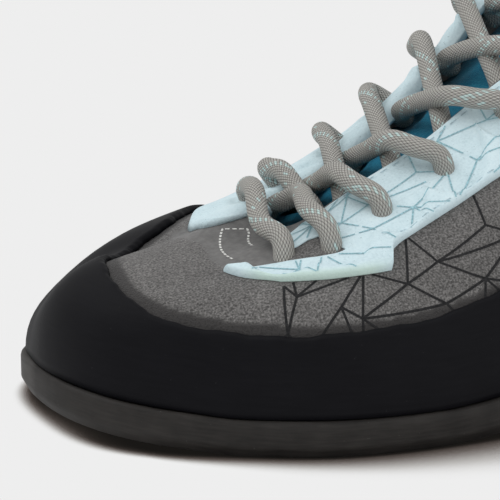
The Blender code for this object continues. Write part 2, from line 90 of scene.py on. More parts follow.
def new_finish(name, colour, roughness, specular, **values):
    """A Principled material with its even values set on the shader, the rarer ones by name."""
    made = bpy.data.materials.new(name)
    made.use_nodes = True
    shader = made.node_tree.nodes["Principled BSDF"]
    shader.inputs["Base Color"].default_value = (*colour, 1)
    shader.inputs["Roughness"].default_value = roughness
    shader.inputs["Specular IOR Level"].default_value = specular
    for socket, value in values.items():
        shader.inputs[socket.replace("_", " ")].default_value = value
    return made


def node(finish, kind, inputs, **settings):
    """A node in a finish, with its options set and each input linked or given a value."""
    made = finish.node_tree.nodes.new(kind)
    for name, value in settings.items():
        setattr(made, name, value)
    for socket, value in inputs.items():
        if isinstance(value, bpy.types.NodeSocket):
            finish.node_tree.links.new(value, made.inputs[socket])
        else:
            made.inputs[socket].default_value = value
    return made


def maths(finish, operation, *values):
    """One sum in a finish, cut off to 0 to 1 where it ends in a plus sign."""
    name = operation.rstrip("+")
    kept = operation.endswith("+")
    inputs = dict(enumerate(values))
    return node(finish, "ShaderNodeMath", inputs, operation=name, use_clamp=kept).outputs[0]


def blend_of(finish, share, stops):
    """Colours along a share from 0 to 1, from (share, colour) stops."""
    made = node(finish, "ShaderNodeValToRGB", {"Fac": share})
    ramp = made.color_ramp
    while len(ramp.elements) < len(stops):
        ramp.elements.new(0.5)
    for element, (position, colour) in zip(ramp.elements, stops):
        element.position = position
        element.color = (*colour, 1)
    return made.outputs["Color"]


def dress(finish, **sockets):
    """Links the shader's sockets, named with _ for a space."""
    shader = finish.node_tree.nodes["Principled BSDF"]
    for name, value in sockets.items():
        finish.node_tree.links.new(value, shader.inputs[name.replace("_", " ")])


def skin(name, points, faces, finish, flow=None, masks=None):
    """A smooth mesh object of points and faces, with its flow as a UV map."""
    mesh = bpy.data.meshes.new(name)
    mesh.from_pydata(points.reshape(-1, 3).tolist(), [], faces.tolist())
    if flow is not None:
        layer = mesh.uv_layers.new(name="flow")
        layer.data.foreach_set("uv", flow.reshape(-1, 2)[faces.ravel()].astype(np.float32).ravel())
    for mask, values in (masks or {}).items():
        attribute = mesh.attributes.new(mask, "FLOAT", "POINT")
        attribute.data.foreach_set("value", values.astype(np.float32).ravel())
    mesh.materials.append(finish)
    mesh.shade_smooth()
    made = bpy.data.objects.new(name, mesh)
    bpy.context.collection.objects.link(made)
    return made


def own_place(finish):
    """Where each point of the piece lies, in metres."""
    return node(finish, "ShaderNodeTexCoord", {}).outputs["Object"]


def table_finish():
    """A pale sheet that glows evenly, with a painted contact shadow: its colour darkens where something
    stands close over it. The painted shadow reaches further behind the toe than before it."""
    finish = new_finish("table", (0, 0, 0), 1.0, 0.0, Emission_Strength=1.0)
    along = node(finish, "ShaderNodeSeparateXYZ", {0: own_place(finish)}).outputs[0]
    behind_toe = maths(finish, "SUBTRACT", along, CONTACT_FROM)
    share = maths(finish, "DIVIDE+", behind_toe, CONTACT_RUN)
    reach = maths(finish, "MULTIPLY_ADD", share, CONTACT_MORE, CONTACT_NEAR)
    open_share = node(finish, "ShaderNodeAmbientOcclusion", {"Distance": reach}, samples=16)
    # Painted shadow: the glow's colour darkens by how shut in each place is.
    dress(finish, Emission_Color=blend_of(finish, open_share.outputs["AO"], PAINTED_SHADOW_SHADES))
    return finish


corners = np.array([(-1, -1, 0), (1, -1, 0), (1, 1, 0), (-1, 1, 0)]) * TABLE_HALF
table = skin("table", corners, np.array([[0, 1, 2, 3]]), table_finish())

# The light: an even pale room, a wide soft lamp from behind the toe, and a weak one from the front.
ROOM_LIGHT = 0.62
LAMPS = (
    # name, azimuth and rise it comes from, strength, how wide
    ("back_lamp", 150, 58, 1.05, 60),
    ("front_lamp", -62, 38, 0.45, 70),
)
world = bpy.data.worlds.new("room")
world.use_nodes = True
world.node_tree.nodes["Background"].inputs["Color"].default_value = (1, 1, 1, 1)
world.node_tree.nodes["Background"].inputs["Strength"].default_value = ROOM_LIGHT
bpy.context.scene.world = world
for name, turn, rise, strength, width in LAMPS:
    lamp = bpy.data.objects.new(name, bpy.data.lights.new(name, "SUN"))
    bpy.context.collection.objects.link(lamp)
    turn, rise = np.radians(turn), np.radians(rise)
    lamp.rotation_euler = (np.pi / 2 - rise, 0, turn + np.pi / 2)
    lamp.data.energy = strength
    lamp.data.angle = np.radians(width)

# The upper: grey suede about 1.8 mm thick, lasted over a foot form and stitched shut at the heel. A
# smooth reinforcing patch lies at the base of the throat, and the nap is dark where it was glued.
LENGTH = 0.240
BALL_WIDTH = 0.080
INSTEP_HEIGHT = 0.0825
HEEL_HEIGHT = 0.082
TOE_SPRING = 0.0042
ARCH_RISE = 0.0046
SOLE = 0.0064
WALL = 0.0018
GAP = 0.0003
SOLE_OFFSET = 0.0025
HANDLE_TURN = 0.058

# The foot line is where the upper meets the sole, and the top line is the edge of the throat and the
# collar. Along is a share of LENGTH from the toe, and across a share of BALL_WIDTH to the inner side.
# The top line's height is a share of INSTEP_HEIGHT plus a share of HEEL_HEIGHT. The wall leaves the
# sole leaning out by bulge (of BALL_WIDTH) over rise (of INSTEP_HEIGHT), and reaches the top line
# from lead (of LENGTH) outside it and drop (of INSTEP_HEIGHT) below it.
UPPER_ROWS = (
    # foot along, across, top along, across, of instep, of heel, bulge, rise, lead, drop
    (0.023, 0.060, 0.202, 0.031, 0.415, 0.000, 0.005, 0.240, 0.133, 0.098),  # toe
    (0.024, -0.100, 0.203, -0.006, 0.400, 0.000, 0.010, 0.267, 0.135, 0.087),
    (0.053, -0.247, 0.206, -0.038, 0.390, 0.000, 0.015, 0.276, 0.121, 0.075),
    (0.110, -0.375, 0.219, -0.066, 0.410, 0.000, 0.025, 0.280, 0.106, 0.064),
    (0.172, -0.481, 0.250, -0.103, 0.471, 0.000, 0.031, 0.267, 0.089, 0.085),
    (0.269, -0.529, 0.305, -0.130, 0.560, 0.000, 0.037, 0.224, 0.076, 0.100),  # outer ball
    (0.376, -0.505, 0.378, -0.140, 0.690, 0.000, 0.044, 0.230, 0.058, 0.121),
    (0.492, -0.394, 0.468, -0.160, 0.842, 0.000, 0.050, 0.267, 0.046, 0.170),  # outer waist
    (0.608, -0.325, 0.569, -0.200, 0.983, 0.000, 0.056, 0.291, 0.033, 0.218),
    (0.725, -0.312, 0.679, -0.312, 0.479, 0.482, 0.062, 0.291, 0.013, 0.242),  # outer ankle
    (0.846, -0.312, 0.808, -0.350, 0.000, 0.805, 0.075, 0.267, 0.004, 0.218),
    (0.942, -0.225, 0.921, -0.250, 0.000, 0.878, 0.075, 0.315, -0.004, 0.242),
    (0.988, 0.000, 0.971, 0.000, 0.000, 1.000, 0.069, 0.364, -0.013, 0.291),  # heel
    (0.942, 0.212, 0.921, 0.237, 0.000, 0.902, 0.075, 0.315, -0.004, 0.242),
    (0.850, 0.287, 0.808, 0.338, 0.000, 0.829, 0.075, 0.267, 0.004, 0.218),
    (0.733, 0.275, 0.679, 0.300, 0.485, 0.488, 0.075, 0.291, 0.013, 0.242),  # inner ankle
    (0.617, 0.244, 0.568, 0.220, 1.000, 0.000, 0.087, 0.291, 0.033, 0.218),
    (0.500, 0.275, 0.466, 0.204, 0.890, 0.000, 0.087, 0.291, 0.050, 0.170),  # arch
    (0.383, 0.388, 0.378, 0.172, 0.676, 0.000, 0.062, 0.267, 0.062, 0.127),
    (0.275, 0.463, 0.305, 0.163, 0.506, 0.000, 0.037, 0.238, 0.078, 0.100),  # inner ball
    (0.175, 0.456, 0.248, 0.140, 0.432, 0.000, 0.025, 0.276, 0.090, 0.105),
    (0.101, 0.398, 0.217, 0.118, 0.418, 0.000, 0.015, 0.236, 0.097, 0.103),
    (0.056, 0.310, 0.203, 0.091, 0.412, 0.000, 0.005, 0.170, 0.093, 0.128),
    (0.033, 0.198, 0.202, 0.062, 0.415, 0.000, 0.003, 0.170, 0.102, 0.112),
)
ROUND = len(UPPER_ROWS)

# The sole's underside over the floor: along as a share of LENGTH, then shares of both lifts.
SOLE_ROWS = (
    # along, of TOE_SPRING, of ARCH_RISE
    (0.000, 1.00, 0.00),
    (0.035, 0.55, 0.00),
    (0.070, 0.24, 0.00),
    (0.108, 0.00, 0.00),
    (0.235, 0.00, 0.00),
    (0.335, 0.00, 0.44),
    (0.435, 0.00, 0.88),
    (0.550, 0.00, 1.00),
    (0.665, 0.00, 0.74),
    (0.760, 0.00, 0.18),
    (0.815, 0.00, 0.00),
    (0.940, 0.00, 0.00),
    (1.000, 0.24, 0.00),
)

# How far up the wall the rubber rand reaches: high over the big toe, low along the outer side.
RAND_ROWS = (
    0.55, 0.46, 0.315, 0.265, 0.265, 0.33, 0.35, 0.28, 0.20, 0.21, 0.30, 0.40,
    0.42, 0.40, 0.30, 0.22, 0.21, 0.25, 0.33, 0.44, 0.60, 0.72, 0.66, 0.60,
)

# Soft creases where the empty shoe has bent: over the ball, at the instep and round the ankle.
CREASE_ROWS = (
    # from round, up, to round, up, how far it bows up, half width and depth in metres
    (4.6, 0.34, 6.2, 0.52, 0.03, 0.0030, 0.00030),
    (5.6, 0.37, 6.9, 0.62, 0.03, 0.0034, 0.00045),
    (6.6, 0.36, 7.6, 0.66, 0.02, 0.0036, 0.00050),
    (7.6, 0.40, 8.6, 0.84, 0.03, 0.0040, 0.00055),
    (8.8, 0.40, 9.6, 0.88, -0.03, 0.0045, 0.00060),
    (10.2, 0.55, 11.3, 0.90, -0.04, 0.0042, 0.00040),
    (12.8, 0.88, 13.8, 0.56, -0.04, 0.0042, 0.00040),
    (14.4, 0.86, 15.2, 0.42, -0.03, 0.0045, 0.00060),
    (15.5, 0.80, 16.5, 0.42, 0.03, 0.0040, 0.00055),
    (16.6, 0.64, 17.6, 0.38, 0.02, 0.0036, 0.00050),
    (17.5, 0.66, 18.7, 0.46, 0.02, 0.0034, 0.00045),
    (18.7, 0.70, 19.8, 0.50, 0.02, 0.0030, 0.00035),
)
WAVE = 0.00016

UPPER_STEPS = 520
UPPER_RISES = 84
LINING_RISES = 30
RIM_STEPS = 6
RIM_UP = 0.985
PATCH_DOWN = 0.0158
PATCH_GROWS = 0.0045
PATCH_WAVE = 0.0006
PATCH_SOFT = 0.0007
GLUED_BORDER = 0.0012
GLUED_AT_TOE = 0.0016
GLUED_SOFT = 0.0009


def cubic(s, start, start_slope, end, end_slope):
    """The cubic curve from start to end with the slope at each, at a share s of the way."""
    return (
        (2 * s**3 - 3 * s**2 + 1) * start
        + (s**3 - 2 * s**2 + s) * start_slope
        + (3 * s**2 - 2 * s**3) * end
        + (s**3 - s**2) * end_slope
    )


def bezier(s, start, near_start, near_end, end):
    """The Bezier curve from start to end by two handles, at a share s of the way."""
    return (
        (1 - s) ** 3 * start
        + 3 * (1 - s) ** 2 * s * near_start
        + 3 * (1 - s) * s**2 * near_end
        + s**3 * end
    )


def rise_between(rows, places):
    """Heights at the places along rows of (place, height): a cubic that keeps each rise one way."""
    place, height = np.array(rows).T
    slope = np.diff(height) / np.diff(place)
    same_way = slope[:-1] * slope[1:] > 0
    sums = np.where(same_way, slope[:-1] + slope[1:], 1)
    inner = np.where(same_way, 2 * slope[:-1] * slope[1:] / sums, 0)
    slopes = np.concatenate([slope[:1], inner, slope[-1:]])
    at = np.clip(np.searchsorted(place, places) - 1, 0, len(place) - 2)
    step = place[at + 1] - place[at]
    s = np.clip((places - place[at]) / step, 0, 1)
    return cubic(s, height[at], step * slopes[at], height[at + 1], step * slopes[at + 1])


def round_spline(rows):
    """The smooth closed cubic through rows that stand one apart: a function of round."""
    values = np.array(rows, dtype=float)
    count = len(values)
    system = 4 * np.eye(count) + np.roll(np.eye(count), 1, 0) + np.roll(np.eye(count), -1, 0)
    slopes = np.linalg.solve(system, 3 * (np.roll(values, -1, 0) - np.roll(values, 1, 0)))

    def read(places):
        """The values at the places, which run on past the last row to the first."""
        places = np.mod(places, count)
        at = np.floor(places).astype(int) % count
        after = (at + 1) % count
        s = (places - np.floor(places)).reshape(np.shape(places) + (1,) * (values.ndim - 1))
        return cubic(s, values[at], slopes[at], values[after], slopes[after])

    return read


def unit(vectors):
    """Each vector at length one."""
    return vectors / np.linalg.norm(vectors, axis=-1, keepdims=True)


def ease(share):
    """A share from 0 to 1 that starts and stops softly."""
    share = np.clip(share, 0, 1)
    return share * share * (3 - 2 * share)


def sizes_of_rows():
    """The rows in metres: foot x, y, top x, y, z, bulge, rise, lead, drop."""
    share = np.array(UPPER_ROWS)
    top = share[:, 4] * INSTEP_HEIGHT + share[:, 5] * HEEL_HEIGHT
    scale = np.array([LENGTH, BALL_WIDTH, LENGTH, BALL_WIDTH])
    handles = share[:, 6:] * np.array([BALL_WIDTH, INSTEP_HEIGHT, LENGTH, INSTEP_HEIGHT])
    return np.column_stack([share[:, :4] * scale, top, handles])


row_at = round_spline(sizes_of_rows())
rand_reach = round_spline(RAND_ROWS)


def underside(x):
    """Height of the sole's underside over the floor."""
    rows = [(along * LENGTH, toe * TOE_SPRING + arch * ARCH_RISE) for along, toe, arch in SOLE_ROWS]
    return rise_between(rows, x)


def away_from_foot_line(places):
    """Level directions square to the foot line, pointing out of the shoe."""
    step = 0.001
    along = row_at(places + step)[..., :2] - row_at(places - step)[..., :2]
    return unit(np.stack([along[..., 1], -along[..., 0]], axis=-1))


def surface(places, up):
    """The upper's outside: at each place a Bezier curve from the foot line to the top line."""
    places, up = np.broadcast_arrays(np.asarray(places, float), np.asarray(up, float))
    row = row_at(places)
    out = away_from_foot_line(places)
    seat = underside(row[..., 0]) + SOLE + GAP
    foot = np.concatenate([row[..., :2], seat[..., None]], axis=-1)
    top = row[..., 2:5]
    reach = foot[..., :2] - top[..., :2]
    span = np.linalg.norm(reach, axis=-1, keepdims=True)
    toward_foot = ease(span / (LENGTH * HANDLE_TURN))
    lean = unit(reach / np.maximum(span, GAP) * toward_foot + out * (1 - toward_foot))
    near_foot = foot + np.concatenate([out * row[..., 5:6], row[..., 6:7]], axis=-1)
    near_top = top + np.concatenate([lean * row[..., 7:8], -row[..., 8:9]], axis=-1)
    return bezier(up[..., None], foot, near_foot, near_top, top)


def outward(places, up):
    """The surface's outward directions."""
    step = 0.004
    round_way = surface(places + step, up) - surface(places - step, up)
    up_way = surface(places, np.clip(up + step, 0, 1)) - surface(places, np.clip(up - step, 0, 1))
    return unit(np.cross(round_way, up_way))


def squares_to(points, line):
    """The squared distance from each point to each of a line's points."""
    squares = (points**2).sum(-1)[..., None] + (line**2).sum(-1) - 2 * points @ line.T
    return np.maximum(squares, 0)


def near_line(points, line, width, weights):
    """How near each point is to a line of points: a bell curve of the distance, at most its weight."""
    return (weights * np.exp(-squares_to(points, line) / width**2)).max(axis=-1)


def crease_lines():
    """Each crease as points on the surface, with its width and its depth, which fades at both ends."""
    share = np.linspace(0, 1, 15)
    for start, low, end, high, bow, width, depth in CREASE_ROWS:
        places = start + (end - start) * share
        ups = low + (high - low) * share + bow * np.sin(np.pi * share)
        yield surface(places, ups), width, depth * np.sqrt(np.sin(np.pi * share))


CREASES = list(crease_lines())


def relief(points):
    """How far the lasted skin stands off its even form: shallow waves, less the creases."""
    x, y, z = np.moveaxis(points, -1, 0)
    waves = np.sin(x * 205 + y * 90 + 1.0) * np.sin(z * 190 - y * 150) + np.sin(y * 260 + x * 120)
    return WAVE * waves - sum(near_line(points, *crease) for crease in CREASES)


def lifted(places, up, offset):
    """Points at a distance off the skin, kept over the sole where they lie outside it."""
    places, up, offset = np.broadcast_arrays(places, up, offset)
    base = surface(places, up)
    points = base + outward(places, up) * (offset + relief(base))[..., None]
    floor = underside(points[..., 0]) + SOLE + GAP
    points[..., 2] = np.maximum(points[..., 2], floor)
    return points


def run_along(points):
    """How far each point of a line lies along it, from the line's first point."""
    steps = np.linalg.norm(np.diff(points, axis=-2), axis=-1)
    return np.concatenate([np.zeros_like(steps[..., :1]), np.cumsum(steps, axis=-1)], axis=-1)


def ups_down(places, downs):
    """The up values at distances down the surface from the top line: a row of them at each place."""
    ups = np.linspace(1, 0, 81)
    runs = run_along(surface(places[:, None], ups))
    return np.stack([np.interp(wanted, run, ups) for wanted, run in zip(downs, runs)])


def outline(places, offset):
    """The foot line moved level outwards by an offset."""
    return row_at(places)[..., :2] + away_from_foot_line(places) * np.expand_dims(offset, -1)


EDGE = outline(np.linspace(0, ROUND, 20 * ROUND, endpoint=False), SOLE_OFFSET)
CENTRE = np.append((EDGE.max(axis=0) + EDGE.min(axis=0)) / 2, 0)


def grid_faces(rows, columns, rows_close=False, columns_close=False):
    """Quads between neighbours on a grid, joined end to end where a way closes on itself."""
    i = np.arange(rows if rows_close else rows - 1)[:, None]
    j = np.arange(columns if columns_close else columns - 1)
    below = i * columns
    above = (i + 1) % rows * columns
    after = (j + 1) % columns
    return np.stack([below + j, above + j, above + after, below + after], axis=-1).reshape(-1, 4)


def spots(finish, across, detail=2.0, stretch=(1, 1, 1), flow=None):
    """Cloudy noise whose spots are about the given size across, on Object coordinates or a UV map."""
    if flow is None:
        flow = own_place(finish)
    scaled = node(finish, "ShaderNodeMapping", {"Vector": flow, "Scale": stretch})
    inputs = {"Vector": scaled.outputs[0], "Scale": 1 / across, "Detail": detail}
    return node(finish, "ShaderNodeTexNoise", inputs).outputs["Fac"]


def weighed(finish, first, share, second):
    """Two shades or heights added up, the first by its share and the second by the rest."""
    return maths(finish, "MULTIPLY_ADD", first, share, maths(finish, "MULTIPLY", second, 1 - share))


def mixed(finish, share, first, second, way="MIX"):
    """Two colours mixed by a share."""
    inputs = {0: share}
    for socket, value in ((6, first), (7, second)):
        inputs[socket] = value if isinstance(value, bpy.types.NodeSocket) else (*value, 1)
    return node(finish, "ShaderNodeMix", inputs, data_type="RGBA", blend_type=way).outputs[2]


def mask_of(finish, name):
    """A named share that the mesh carries at each point."""
    return node(finish, "ShaderNodeAttribute", {}, attribute_name=name).outputs["Fac"]


def raise_by(finish, height, depth, below=None):
    """Bump of a real depth from a height share, over another bump."""
    inputs = {"Height": height, "Distance": depth, "Strength": 1.0}
    if below is not None:
        inputs["Normal"] = below
    return node(finish, "ShaderNodeBump", inputs).outputs["Normal"]


def suede_finish():
    """Napped suede: fine light and dark fibres, brushed patches, and a darker rough glued border."""
    finish = new_finish("suede", (0.17, 0.162, 0.158), 0.95, 0.12, Sheen_Weight=0.18, Sheen_Roughness=0.45)
    fibres = spots(finish, 0.00036, 5)
    brushed = spots(finish, 0.009, 3)
    smooth = mask_of(finish, "smooth")
    border = mask_of(finish, "border")
    nap = blend_of(finish, fibres, (
        (0.32, (0.058, 0.056, 0.055)),
        (0.50, (0.132, 0.128, 0.125)),
        (0.68, (0.240, 0.233, 0.228)),
    ))
    plain = blend_of(finish, spots(finish, 0.0012, 3), (
        (0.3, (0.130, 0.128, 0.126)),
        (0.7, (0.182, 0.179, 0.176)),
    ))
    colour = mixed(finish, smooth, nap, plain)
    shade = maths(finish, "MULTIPLY_ADD", brushed, 0.5, 0.75)
    greys = node(finish, "ShaderNodeCombineColor", {0: shade, 1: shade, 2: shade}).outputs[0]
    colour = mixed(finish, 1.0, colour, greys, "MULTIPLY")
    rough_edge = maths(finish, "MULTIPLY+", border, maths(finish, "MULTIPLY_ADD", fibres, 1.2, 0.25))
    colour = mixed(finish, rough_edge, colour, (0.040, 0.038, 0.038))
    height = maths(finish, "MULTIPLY", fibres, maths(finish, "MULTIPLY_ADD", smooth, -0.8, 1.0))
    dress(finish, Base_Color=colour, Normal=raise_by(finish, height, 0.00028))
    return finish


def lining_finish():
    """Brushed microfibre lining, pale grey."""
    finish = new_finish("lining", (0.30, 0.30, 0.30), 0.95, 0.1)
    weave = spots(finish, 0.0007, 3)
    colour = blend_of(finish, weave, ((0.3, (0.20, 0.20, 0.20)), (0.7, (0.36, 0.36, 0.355))))
    dress(finish, Base_Color=colour, Normal=raise_by(finish, weave, 0.0001))
    return finish


def from_toe(places):
    """Rounds counted from the toe, the inner side's below nothing."""
    return (places + ROUND / 2) % ROUND - ROUND / 2


def patch_share(places, downs):
    """1 on the smooth patch at the base of the throat, and 0 on the napped suede round it."""
    places = from_toe(places)
    edge = PATCH_DOWN + PATCH_GROWS * ease((places - 0.9) / 1.6) - PATCH_WAVE * np.sin(places * 2.1)
    ends = ease((3.15 - places) / 0.25) * ease((places + 2.6) / 0.5)
    return ease((edge - downs) / PATCH_SOFT + 0.5) * ends


upper_places = np.linspace(0, ROUND, UPPER_STEPS, endpoint=False)[:, None]
outer_ups = np.linspace(0, 1, UPPER_RISES) ** 0.92 * RIM_UP
turn = np.linspace(0, np.pi, RIM_STEPS + 2)[1:-1]
rim_ups = RIM_UP + (1 - RIM_UP) * np.sin(turn)
lining_ups = np.linspace(RIM_UP, 0, LINING_RISES)
upper_ups = np.concatenate([outer_ups, rim_ups, lining_ups])
upper_offsets = np.concatenate([
    np.zeros(UPPER_RISES),
    (np.cos(turn) - 1) * WALL / 2,
    np.full(LINING_RISES, -WALL),
])
upper_points = lifted(upper_places, upper_ups, upper_offsets)

# The masks follow distances along the skin: down from the throat, and up from the rand's edge.
upper_downs = np.zeros(upper_points.shape[:2])
upper_downs[:, :UPPER_RISES] = run_along(upper_points[:, UPPER_RISES - 1::-1])[:, ::-1]
to_rand = upper_downs - np.take_along_axis(
    upper_downs,
    np.abs(outer_ups - rand_reach(upper_places)).argmin(axis=1)[:, None],
    axis=1,
)
toe_side = np.exp(-((from_toe(upper_places) - 0.3) / 3.2) ** 2)
border_width = GLUED_BORDER + GLUED_AT_TOE * toe_side
upper_masks = {
    "smooth": patch_share(np.broadcast_to(upper_places, upper_downs.shape), upper_downs),
    "border": ease((to_rand + border_width) / GLUED_SOFT + 0.5),
}
upper = skin(
    "upper_skin",
    upper_points - CENTRE,
    grid_faces(UPPER_STEPS, len(upper_ups), True, True),
    suede_finish(),
    masks=upper_masks,
)
upper.data.materials.append(lining_finish())
on_lining = np.tile(np.arange(len(upper_ups)) > UPPER_RISES + RIM_STEPS - 2, UPPER_STEPS)
upper.data.polygons.foreach_set("material_index", on_lining.astype(np.int32))
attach(upper, "root")
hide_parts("upper")

# The outsole: one sheet of climbing rubber 6.4 mm thick, glued on and ground along its edge, which
# leaves fine streaks, a thin lip above and a small bevel below.
SOLE_BEVEL = 0.0011
SOLE_LEDGE = 0.0008
SOLE_STEPS = 480
SPINE = (0.14, 0.84)

def run_round(ring):
    """How far round a closed ring of points each step ends, from the first point."""
    return np.linalg.norm(np.diff(ring, axis=0, append=ring[:1]), axis=-1).cumsum()[:, None]


def mend(made, merge=0, turn=False):
    """Merges points that coincide, closes open ends and, where asked, turns the faces outwards."""
    work = bmesh.new()
    work.from_mesh(made.data)
    if merge:
        bmesh.ops.remove_doubles(work, verts=work.verts[:], dist=merge)
    bmesh.ops.holes_fill(work, edges=[edge for edge in work.edges if edge.is_boundary])
    if turn:
        bmesh.ops.recalc_face_normals(work, faces=work.faces[:])
    work.to_mesh(made.data)
    work.free()


def slab(name, profile, finish):
    """A closed slab on the sole's underside. Its profile runs from the middle line underneath, out round
    the edge and back in on top, as rows of (share out from the middle line, offset, height)."""
    places = np.linspace(0, ROUND, SOLE_STEPS, endpoint=False)[:, None]
    share, offset, height = np.array(profile).T
    edge = outline(np.broadcast_to(places, (SOLE_STEPS, len(share))), offset)
    middle = (row_at(places)[..., 1] + row_at(ROUND - places)[..., 1]) / 2
    along = np.clip(edge[..., 0], SPINE[0] * LENGTH, SPINE[1] * LENGTH)
    spine = np.stack(np.broadcast_arrays(along, middle), axis=-1)
    flat = spine + (edge - spine) * share[:, None]
    points = np.concatenate([flat, (underside(flat[..., 0]) + height)[..., None]], axis=-1)
    flow = np.stack(np.broadcast_arrays(run_round(edge[:, 0]), height), axis=-1)
    made = skin(name, points - CENTRE, grid_faces(SOLE_STEPS, len(share), True), finish, flow)
    mend(made, 0.00001)
    return made


# The painted highlight at the toe: past this plane, across the front facet of the tip, the sole's colour is
# lightened.
TIP_WAY = (0.87, -0.49, 0.0)
TIP_HIGHLIGHT_FROM = -0.1062


def flow_of(finish):
    """The piece's own flow, round it and along it, in metres."""
    return node(finish, "ShaderNodeUVMap", {}, uv_map="flow").outputs[0]


def sole_finish():
    """Dark ground rubber: streaks along the edge, grey dust, small pale nicks, and a painted highlight on the
    front facet of the tip, broken up by the dust.
    """
    finish = new_finish("sole_rubber", (0.020, 0.0185, 0.0175), 0.62, 0.25)
    streaks = spots(finish, 0.0005, 4, (0.09, 1.0, 1.0), flow_of(finish))
    dust = spots(finish, 0.006, 4)
    nicks = maths(finish, "GREATER_THAN", spots(finish, 0.0006, 2), 0.74)
    share = weighed(finish, dust, 0.5, streaks)
    colour = blend_of(finish, share, (
        (0.35, (0.0125, 0.0112, 0.0104)),
        (0.65, (0.0300, 0.0272, 0.0250)),
    ))
    colour = mixed(finish, nicks, colour, (0.05, 0.048, 0.045))
    # Painted highlight: lighter past the tip's plane, patchy with the dust.
    inputs = {0: own_place(finish), 1: TIP_WAY}
    reached = node(finish, "ShaderNodeVectorMath", inputs, operation="DOT_PRODUCT").outputs["Value"]
    past = maths(finish, "SUBTRACT", TIP_HIGHLIGHT_FROM, reached)
    tip_highlight = maths(finish, "MULTIPLY+", maths(finish, "MULTIPLY", past, 1500), maths(finish, "ADD", dust, 0.2))
    colour = mixed(finish, tip_highlight, colour, (0.047, 0.044, 0.042))
    rough = maths(finish, "MULTIPLY_ADD", streaks, 0.3, 0.5)
    dress(finish, Base_Color=colour, Roughness=rough, Normal=raise_by(finish, streaks, 0.00006))
    return finish


bevel_turn = np.linspace(0, np.pi / 2, 5)
sole_profile = (
    [(share, SOLE_OFFSET - SOLE_BEVEL, 0) for share in np.linspace(0, 0.97, 7)]
    + [(1, SOLE_OFFSET - SOLE_BEVEL * np.cos(t), SOLE_BEVEL * 1.6 * (1 - np.cos(t))) for t in bevel_turn]
    + [(1, SOLE_OFFSET, height) for height in np.linspace(SOLE_BEVEL * 2, SOLE - SOLE_LEDGE * 1.3, 5)]
    + [(1, SOLE_OFFSET - SOLE_LEDGE * 0.15, SOLE - SOLE_LEDGE * 0.75),
       (1, SOLE_OFFSET - SOLE_LEDGE * 0.5, SOLE - SOLE_LEDGE * 0.3),
       (1, SOLE_OFFSET - SOLE_LEDGE, SOLE)]
    + [(share, SOLE_OFFSET - SOLE_LEDGE, SOLE) for share in np.linspace(0.97, 0, 7)]
)
outsole = slab("outsole_block", sole_profile, sole_finish())
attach(outsole, "root")
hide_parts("outsole")

# The insole: a flexible board cut to the foot line, which closes the upper underneath, between its
# walls. A thin woven sock sheet is glued over it.
INSOLE = 0.0024
BOARD_EDGE = 0.0006


def board_finish():
    """A plain woven sock sheet, faded where the foot stands."""
    finish = new_finish("board", (0.35, 0.33, 0.30), 0.9, 0.1)
    weave = spots(finish, 0.0006, 2)
    worn = spots(finish, 0.02, 3)
    share = weighed(finish, worn, 0.6, weave)
    colour = blend_of(finish, share, ((0.3, (0.24, 0.225, 0.20)), (0.7, (0.42, 0.40, 0.365))))
    dress(finish, Base_Color=colour, Normal=raise_by(finish, weave, 0.00012))
    return finish


inset = -WALL - 3 * GAP
board_top = SOLE + GAP + INSOLE
insole_profile = (
    [(share, inset, SOLE + GAP) for share in np.linspace(0, 1, 6)]
    + [(1, inset, board_top - BOARD_EDGE), (0.995, inset, board_top - BOARD_EDGE / 3),
       (0.985, inset, board_top)]
    + [(share, inset, board_top) for share in np.linspace(0.95, 0, 8)]
)
insole = slab("insole_sheet", insole_profile, board_finish())
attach(insole, "root")
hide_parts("insole")

# The rand: stiff rubber 1.4 mm thick, stretched and glued round the upper over the sole's edge. Its
# upper edge is cut by hand, thinned and pressed down, and it is highest over the toe and the heel.
RAND = 0.0014
RAND_EDGE = 0.0011
RAND_RISES = 26


def rand_finish():
    """Near-black rubber, matt, with faint drawn lines, scuffs and specks of dust."""
    finish = new_finish("rand_rubber", (0.0040, 0.0040, 0.0055), 0.58, 0.10)
    drawn = spots(finish, 0.0007, 3, (0.1, 1.0, 1.0), flow_of(finish))
    scuffs = spots(finish, 0.010, 4)
    specks = maths(finish, "GREATER_THAN", spots(finish, 0.0007, 2), 0.755)
    share = weighed(finish, scuffs, 0.6, drawn)
    colour = blend_of(finish, share, (
        (0.35, (0.0034, 0.0034, 0.0048)),
        (0.70, (0.0060, 0.0060, 0.0078)),
    ))
    colour = mixed(finish, specks, colour, (0.018, 0.018, 0.020))
    rough = maths(finish, "MULTIPLY_ADD", scuffs, 0.2, 0.50)
    dress(finish, Base_Color=colour, Roughness=rough, Normal=raise_by(finish, drawn, 0.00003))
    return finish


def round_over(distance, radius):
    """The height share of a rounded edge at a distance in from it."""
    return np.sqrt(1 - (1 - np.clip(distance / radius, 0, 1)) ** 2)


def hand_cut(places):
    """The small wander of a hand-cut edge, as a share of up."""
    return 0.004 * np.sin(places * 5.1) + 0.003 * np.sin(places * 11.7 + 1) + 0.0015 * np.sin(places * 29)


rand_top = rand_reach(upper_places) + hand_cut(upper_places)
rand_outer_ups = rand_top * (1 - np.linspace(1, 0, RAND_RISES) ** 1.7)
rand_inner_ups = rand_top * np.linspace(1, 0, 6)[1:]
rand_outer = lifted(upper_places, rand_outer_ups, GAP)
rand_run = run_along(rand_outer)
rand_offset = GAP * 0.5 + RAND * round_over(rand_run[:, -1:] - rand_run, RAND_EDGE)
rand_points = np.concatenate([
    lifted(upper_places, rand_outer_ups, rand_offset),
    lifted(upper_places, rand_inner_ups, GAP * 0.5),
], axis=1)
rand_rise = np.concatenate([rand_run, rand_run[:, -1:] * rand_inner_ups / rand_top], axis=1)
rand = skin(
    "rand_band",
    rand_points - CENTRE,
    grid_faces(UPPER_STEPS, rand_points.shape[1], True, True),
    rand_finish(),
    np.stack(np.broadcast_arrays(run_round(rand_outer[:, 0]), rand_rise), axis=-1),
)
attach(rand, "root")
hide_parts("rand")

